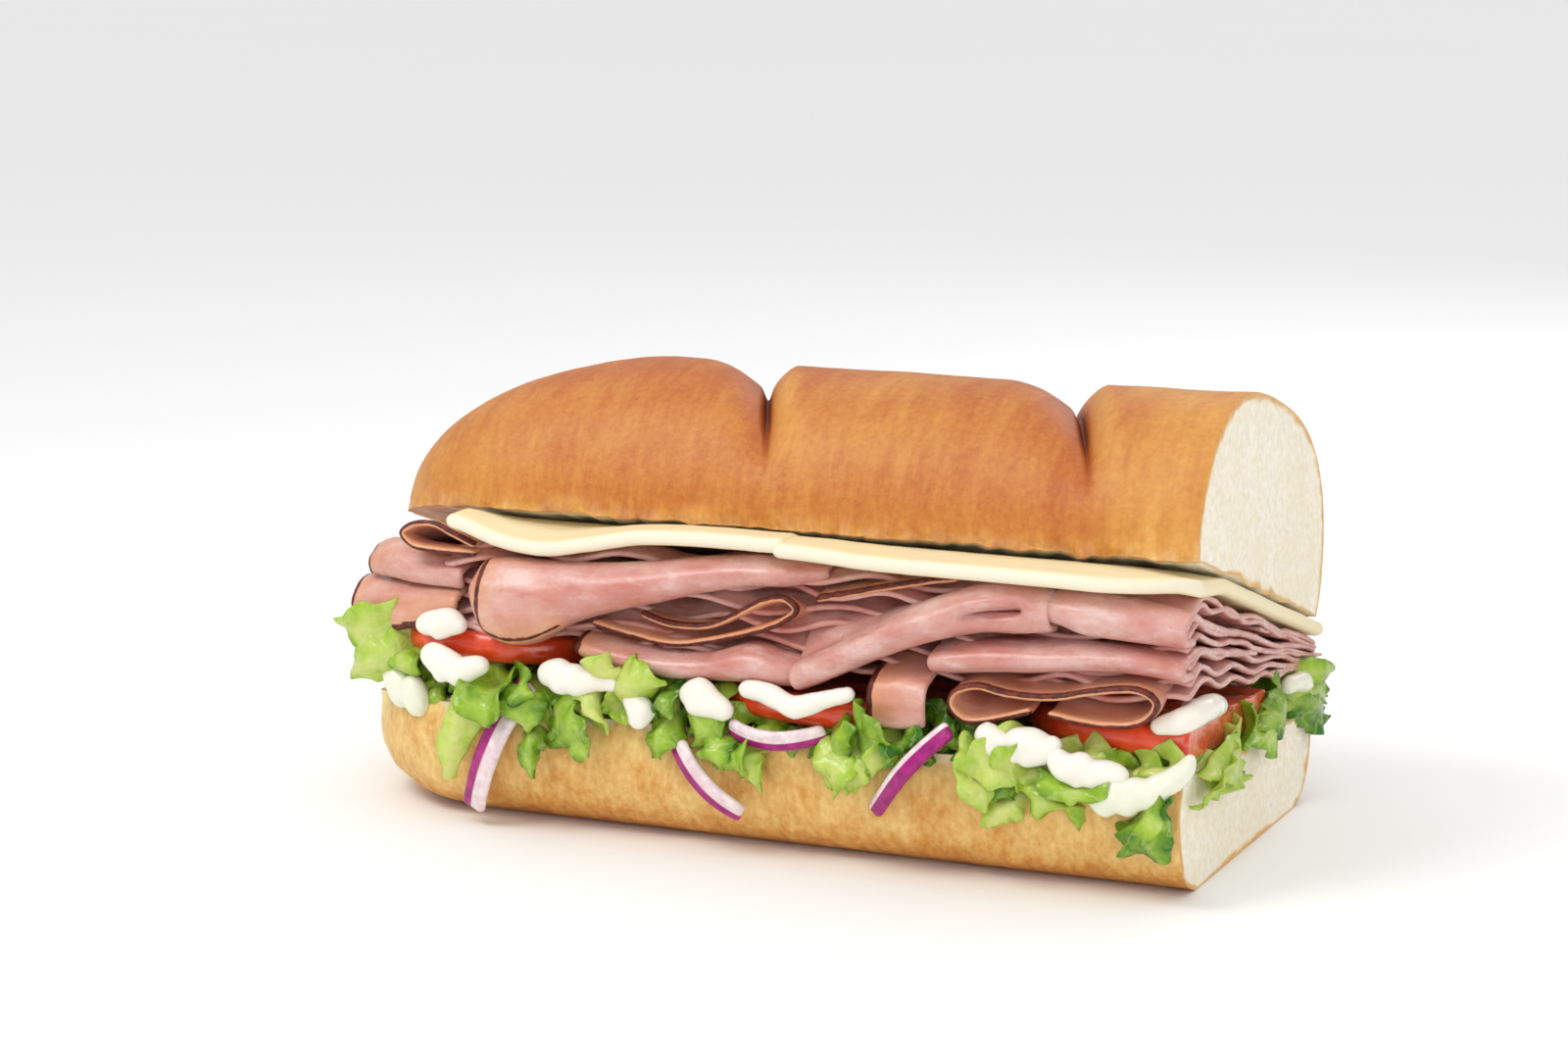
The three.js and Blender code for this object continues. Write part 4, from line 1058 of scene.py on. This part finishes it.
def lettuce():
    draw = np.random.default_rng(7)
    parts = []

    def fringe(root, knee, tip, widths, tones, seed, outwards):
        parts.append(leaf(root, knee, tip, draw.uniform(*widths), draw.uniform(*tones), seed, outwards))

    for i, (x0, z0, x1, z1, width, tone) in enumerate(FRONT_LEAVES):
        inset = 5.0 * (x0 < -55)  # the left end stands further back
        root = (x0, -36 + inset, z0 - 1)
        knee = (lerp(x0, x1, 0.4), -45.4 + inset * 1.2, lerp(z0, z1, 0.35))
        tip = (x1, -45.6 + inset * 1.6, z1)
        parts.append(leaf(root, knee, tip, width, tone, 200 + i, (0, -1, 0)))
    for i, (y0, z0, y1, z1, width, tone) in enumerate(CUT_LEAVES):
        knee = (CUT_X + 1.6, lerp(y0, y1, 0.3), lerp(z0, z1, 0.3))
        tip = (CUT_X + 1.6, y1, z1)
        parts.append(leaf((CUT_X - 6, y0, z0), knee, tip, width, tone, 300 + i, (1, 0, 0)))
    # Fringe along the front
    for i, x in enumerate(np.linspace(-66, 73, 34)):
        y = -40 + 6 * max(0.0, (-50 - x) / 16)
        under_tomato = any(abs(x - row[0]) < 0.8 * row[3] for row in TOMATOES.values() if row[1] < 0)
        z = floor_at(y) + (draw.uniform(0, 0.8) if under_tomato else draw.uniform(1.5, 4.5))
        tip = (x + draw.uniform(-5, 5), y - draw.uniform(0.5, 3), z - draw.uniform(0, 3))
        fringe((x, y + 8, z), (x, y - 1, z + 1), tip, (4.5, 8), (0.1, 0.9), 600 + i, (0, -1, 0))
    # Fringe along the back
    for i, x in enumerate(np.linspace(-58, 72, 34)):
        y = 33 * math.sqrt(1 - min(1, max(0, (-48 - x) / 31)) ** 2) - 3
        z = floor_at(y) + 3
        tip = (x + draw.uniform(-6, 6), y + draw.uniform(4, 8), z - draw.uniform(2, 10))
        fringe((x, y - 8, z), (x, y + 5, z), tip, (5, 10), (0.1, 0.9), 400 + i, (0, 1, 0))
    # Ring round the left end
    for i, angle in enumerate(np.radians(np.linspace(112, 238, 20))):
        out = np.array([math.cos(angle), math.sin(angle), 0])
        x, y = -49 + 28 * out[0], -4 + 34 * out[1]
        z = floor_at(y) + 3
        tip = (x + draw.uniform(3, 7) * out[0], y + draw.uniform(3, 7) * out[1], z + draw.uniform(-5, 2))
        fringe((x + 8, y * 0.8, z), (x, y, z + 1), tip, (6, 10), (0.2, 0.8), 500 + i, out)

    def core(u, v):
        half = 34 * np.sqrt(np.clip((u * 150 + 4) / 30, 0, 1))
        y = lerp(-half - 2, half - 2, v)
        p = point(lerp(-74, CUT_X - 1.4, u), y, floor_at(y) + 2)
        p[..., 2] += 0.7 * noise(p, 5, 111)
        return p

    points, faces, _ = slab(core, CORE_GRID, CORE_T)
    parts.append((points, faces, dict(tone=0.5 + 0.4 * noise(points, 6, 112), rib=0.0)))
    dress("lettuce", "lettuce", LETTUCE, *join(parts))


lettuce()


# Floor, light and camera

def floor_look():
    k = Look("floor")
    shade = k.mix(k.noise(900, 2), (250, 250, 250), (247, 247, 247))
    return k.finish(shade, 0.7)


SPAN, FLOOR_Z = 2e4, -0.02
corners = [(x * SPAN, y * SPAN, FLOOR_Z) for x, y in ((-1, -1), (1, -1), (1, 1), (-1, 1))]
floor = make("floor", corners, [(0, 1, 2, 3)], floor_look())

world = bpy.data.worlds.new("studio")
world.use_nodes = True
sky, link = world.node_tree.nodes, world.node_tree.links.new
way = sky.new("ShaderNodeTexCoord").outputs["Generated"]
height = sky.new("ShaderNodeSeparateXYZ")
bright = sky.new("ShaderNodeMapRange")
bright.inputs["To Min"].default_value, bright.inputs["To Max"].default_value = SKY_SIDE, SKY_TOP
link(way, height.inputs[0])
link(height.outputs["Z"], bright.inputs["Value"])
link(bright.outputs[0], sky["Background"].inputs["Strength"])
sky["Background"].inputs["Color"].default_value = (1, 1, 1, 1)
bpy.context.scene.world = world


def placed(right, back, place):
    """Matrix of a lamp or camera."""
    up = np.cross(back, right)
    return Matrix([[right[i], up[i], back[i], place[i] * MM] for i in range(3)] + [[0, 0, 0, 1]])


def lamp(name, place, aim, size, watts):
    data = bpy.data.lights.new(name, "AREA")
    data.shape, data.size, data.energy = "DISK", size, watts
    light = put_in_scene(name, data)
    back = unit(np.array(place, float) - np.array(aim, float))
    right = unit(np.cross((0.0, 0.0, 1.0), back))
    light.matrix_world = placed(right, back, place)


lamp("key", (-260, -320, 560), (0, 0, 40), 0.3, 1.5)
lamp("fill", (420, -600, 190), (20, 0, 36), 0.45, 1.0)
lamp("rim", (120, 620, 420), (0, 0, 50), 0.4, 0.7)

azimuth, elevation = math.radians(VIEW_AZIMUTH), math.radians(VIEW_ELEVATION)
level = math.cos(elevation)
back = np.array([math.sin(azimuth) * level, -math.cos(azimuth) * level, math.sin(elevation)])
right = np.array([math.cos(azimuth), math.sin(azimuth), 0])
camera_data = bpy.data.cameras.new("camera")
camera_data.lens, camera_data.sensor_width, camera_data.clip_start = VIEW_LENS, SENSOR, 0.01
camera = put_in_scene("camera", camera_data)
camera.matrix_world = placed(right, back, VIEW_PLACE)
bpy.context.scene.camera = camera
bpy.context.scene.view_settings.view_transform = "Standard"
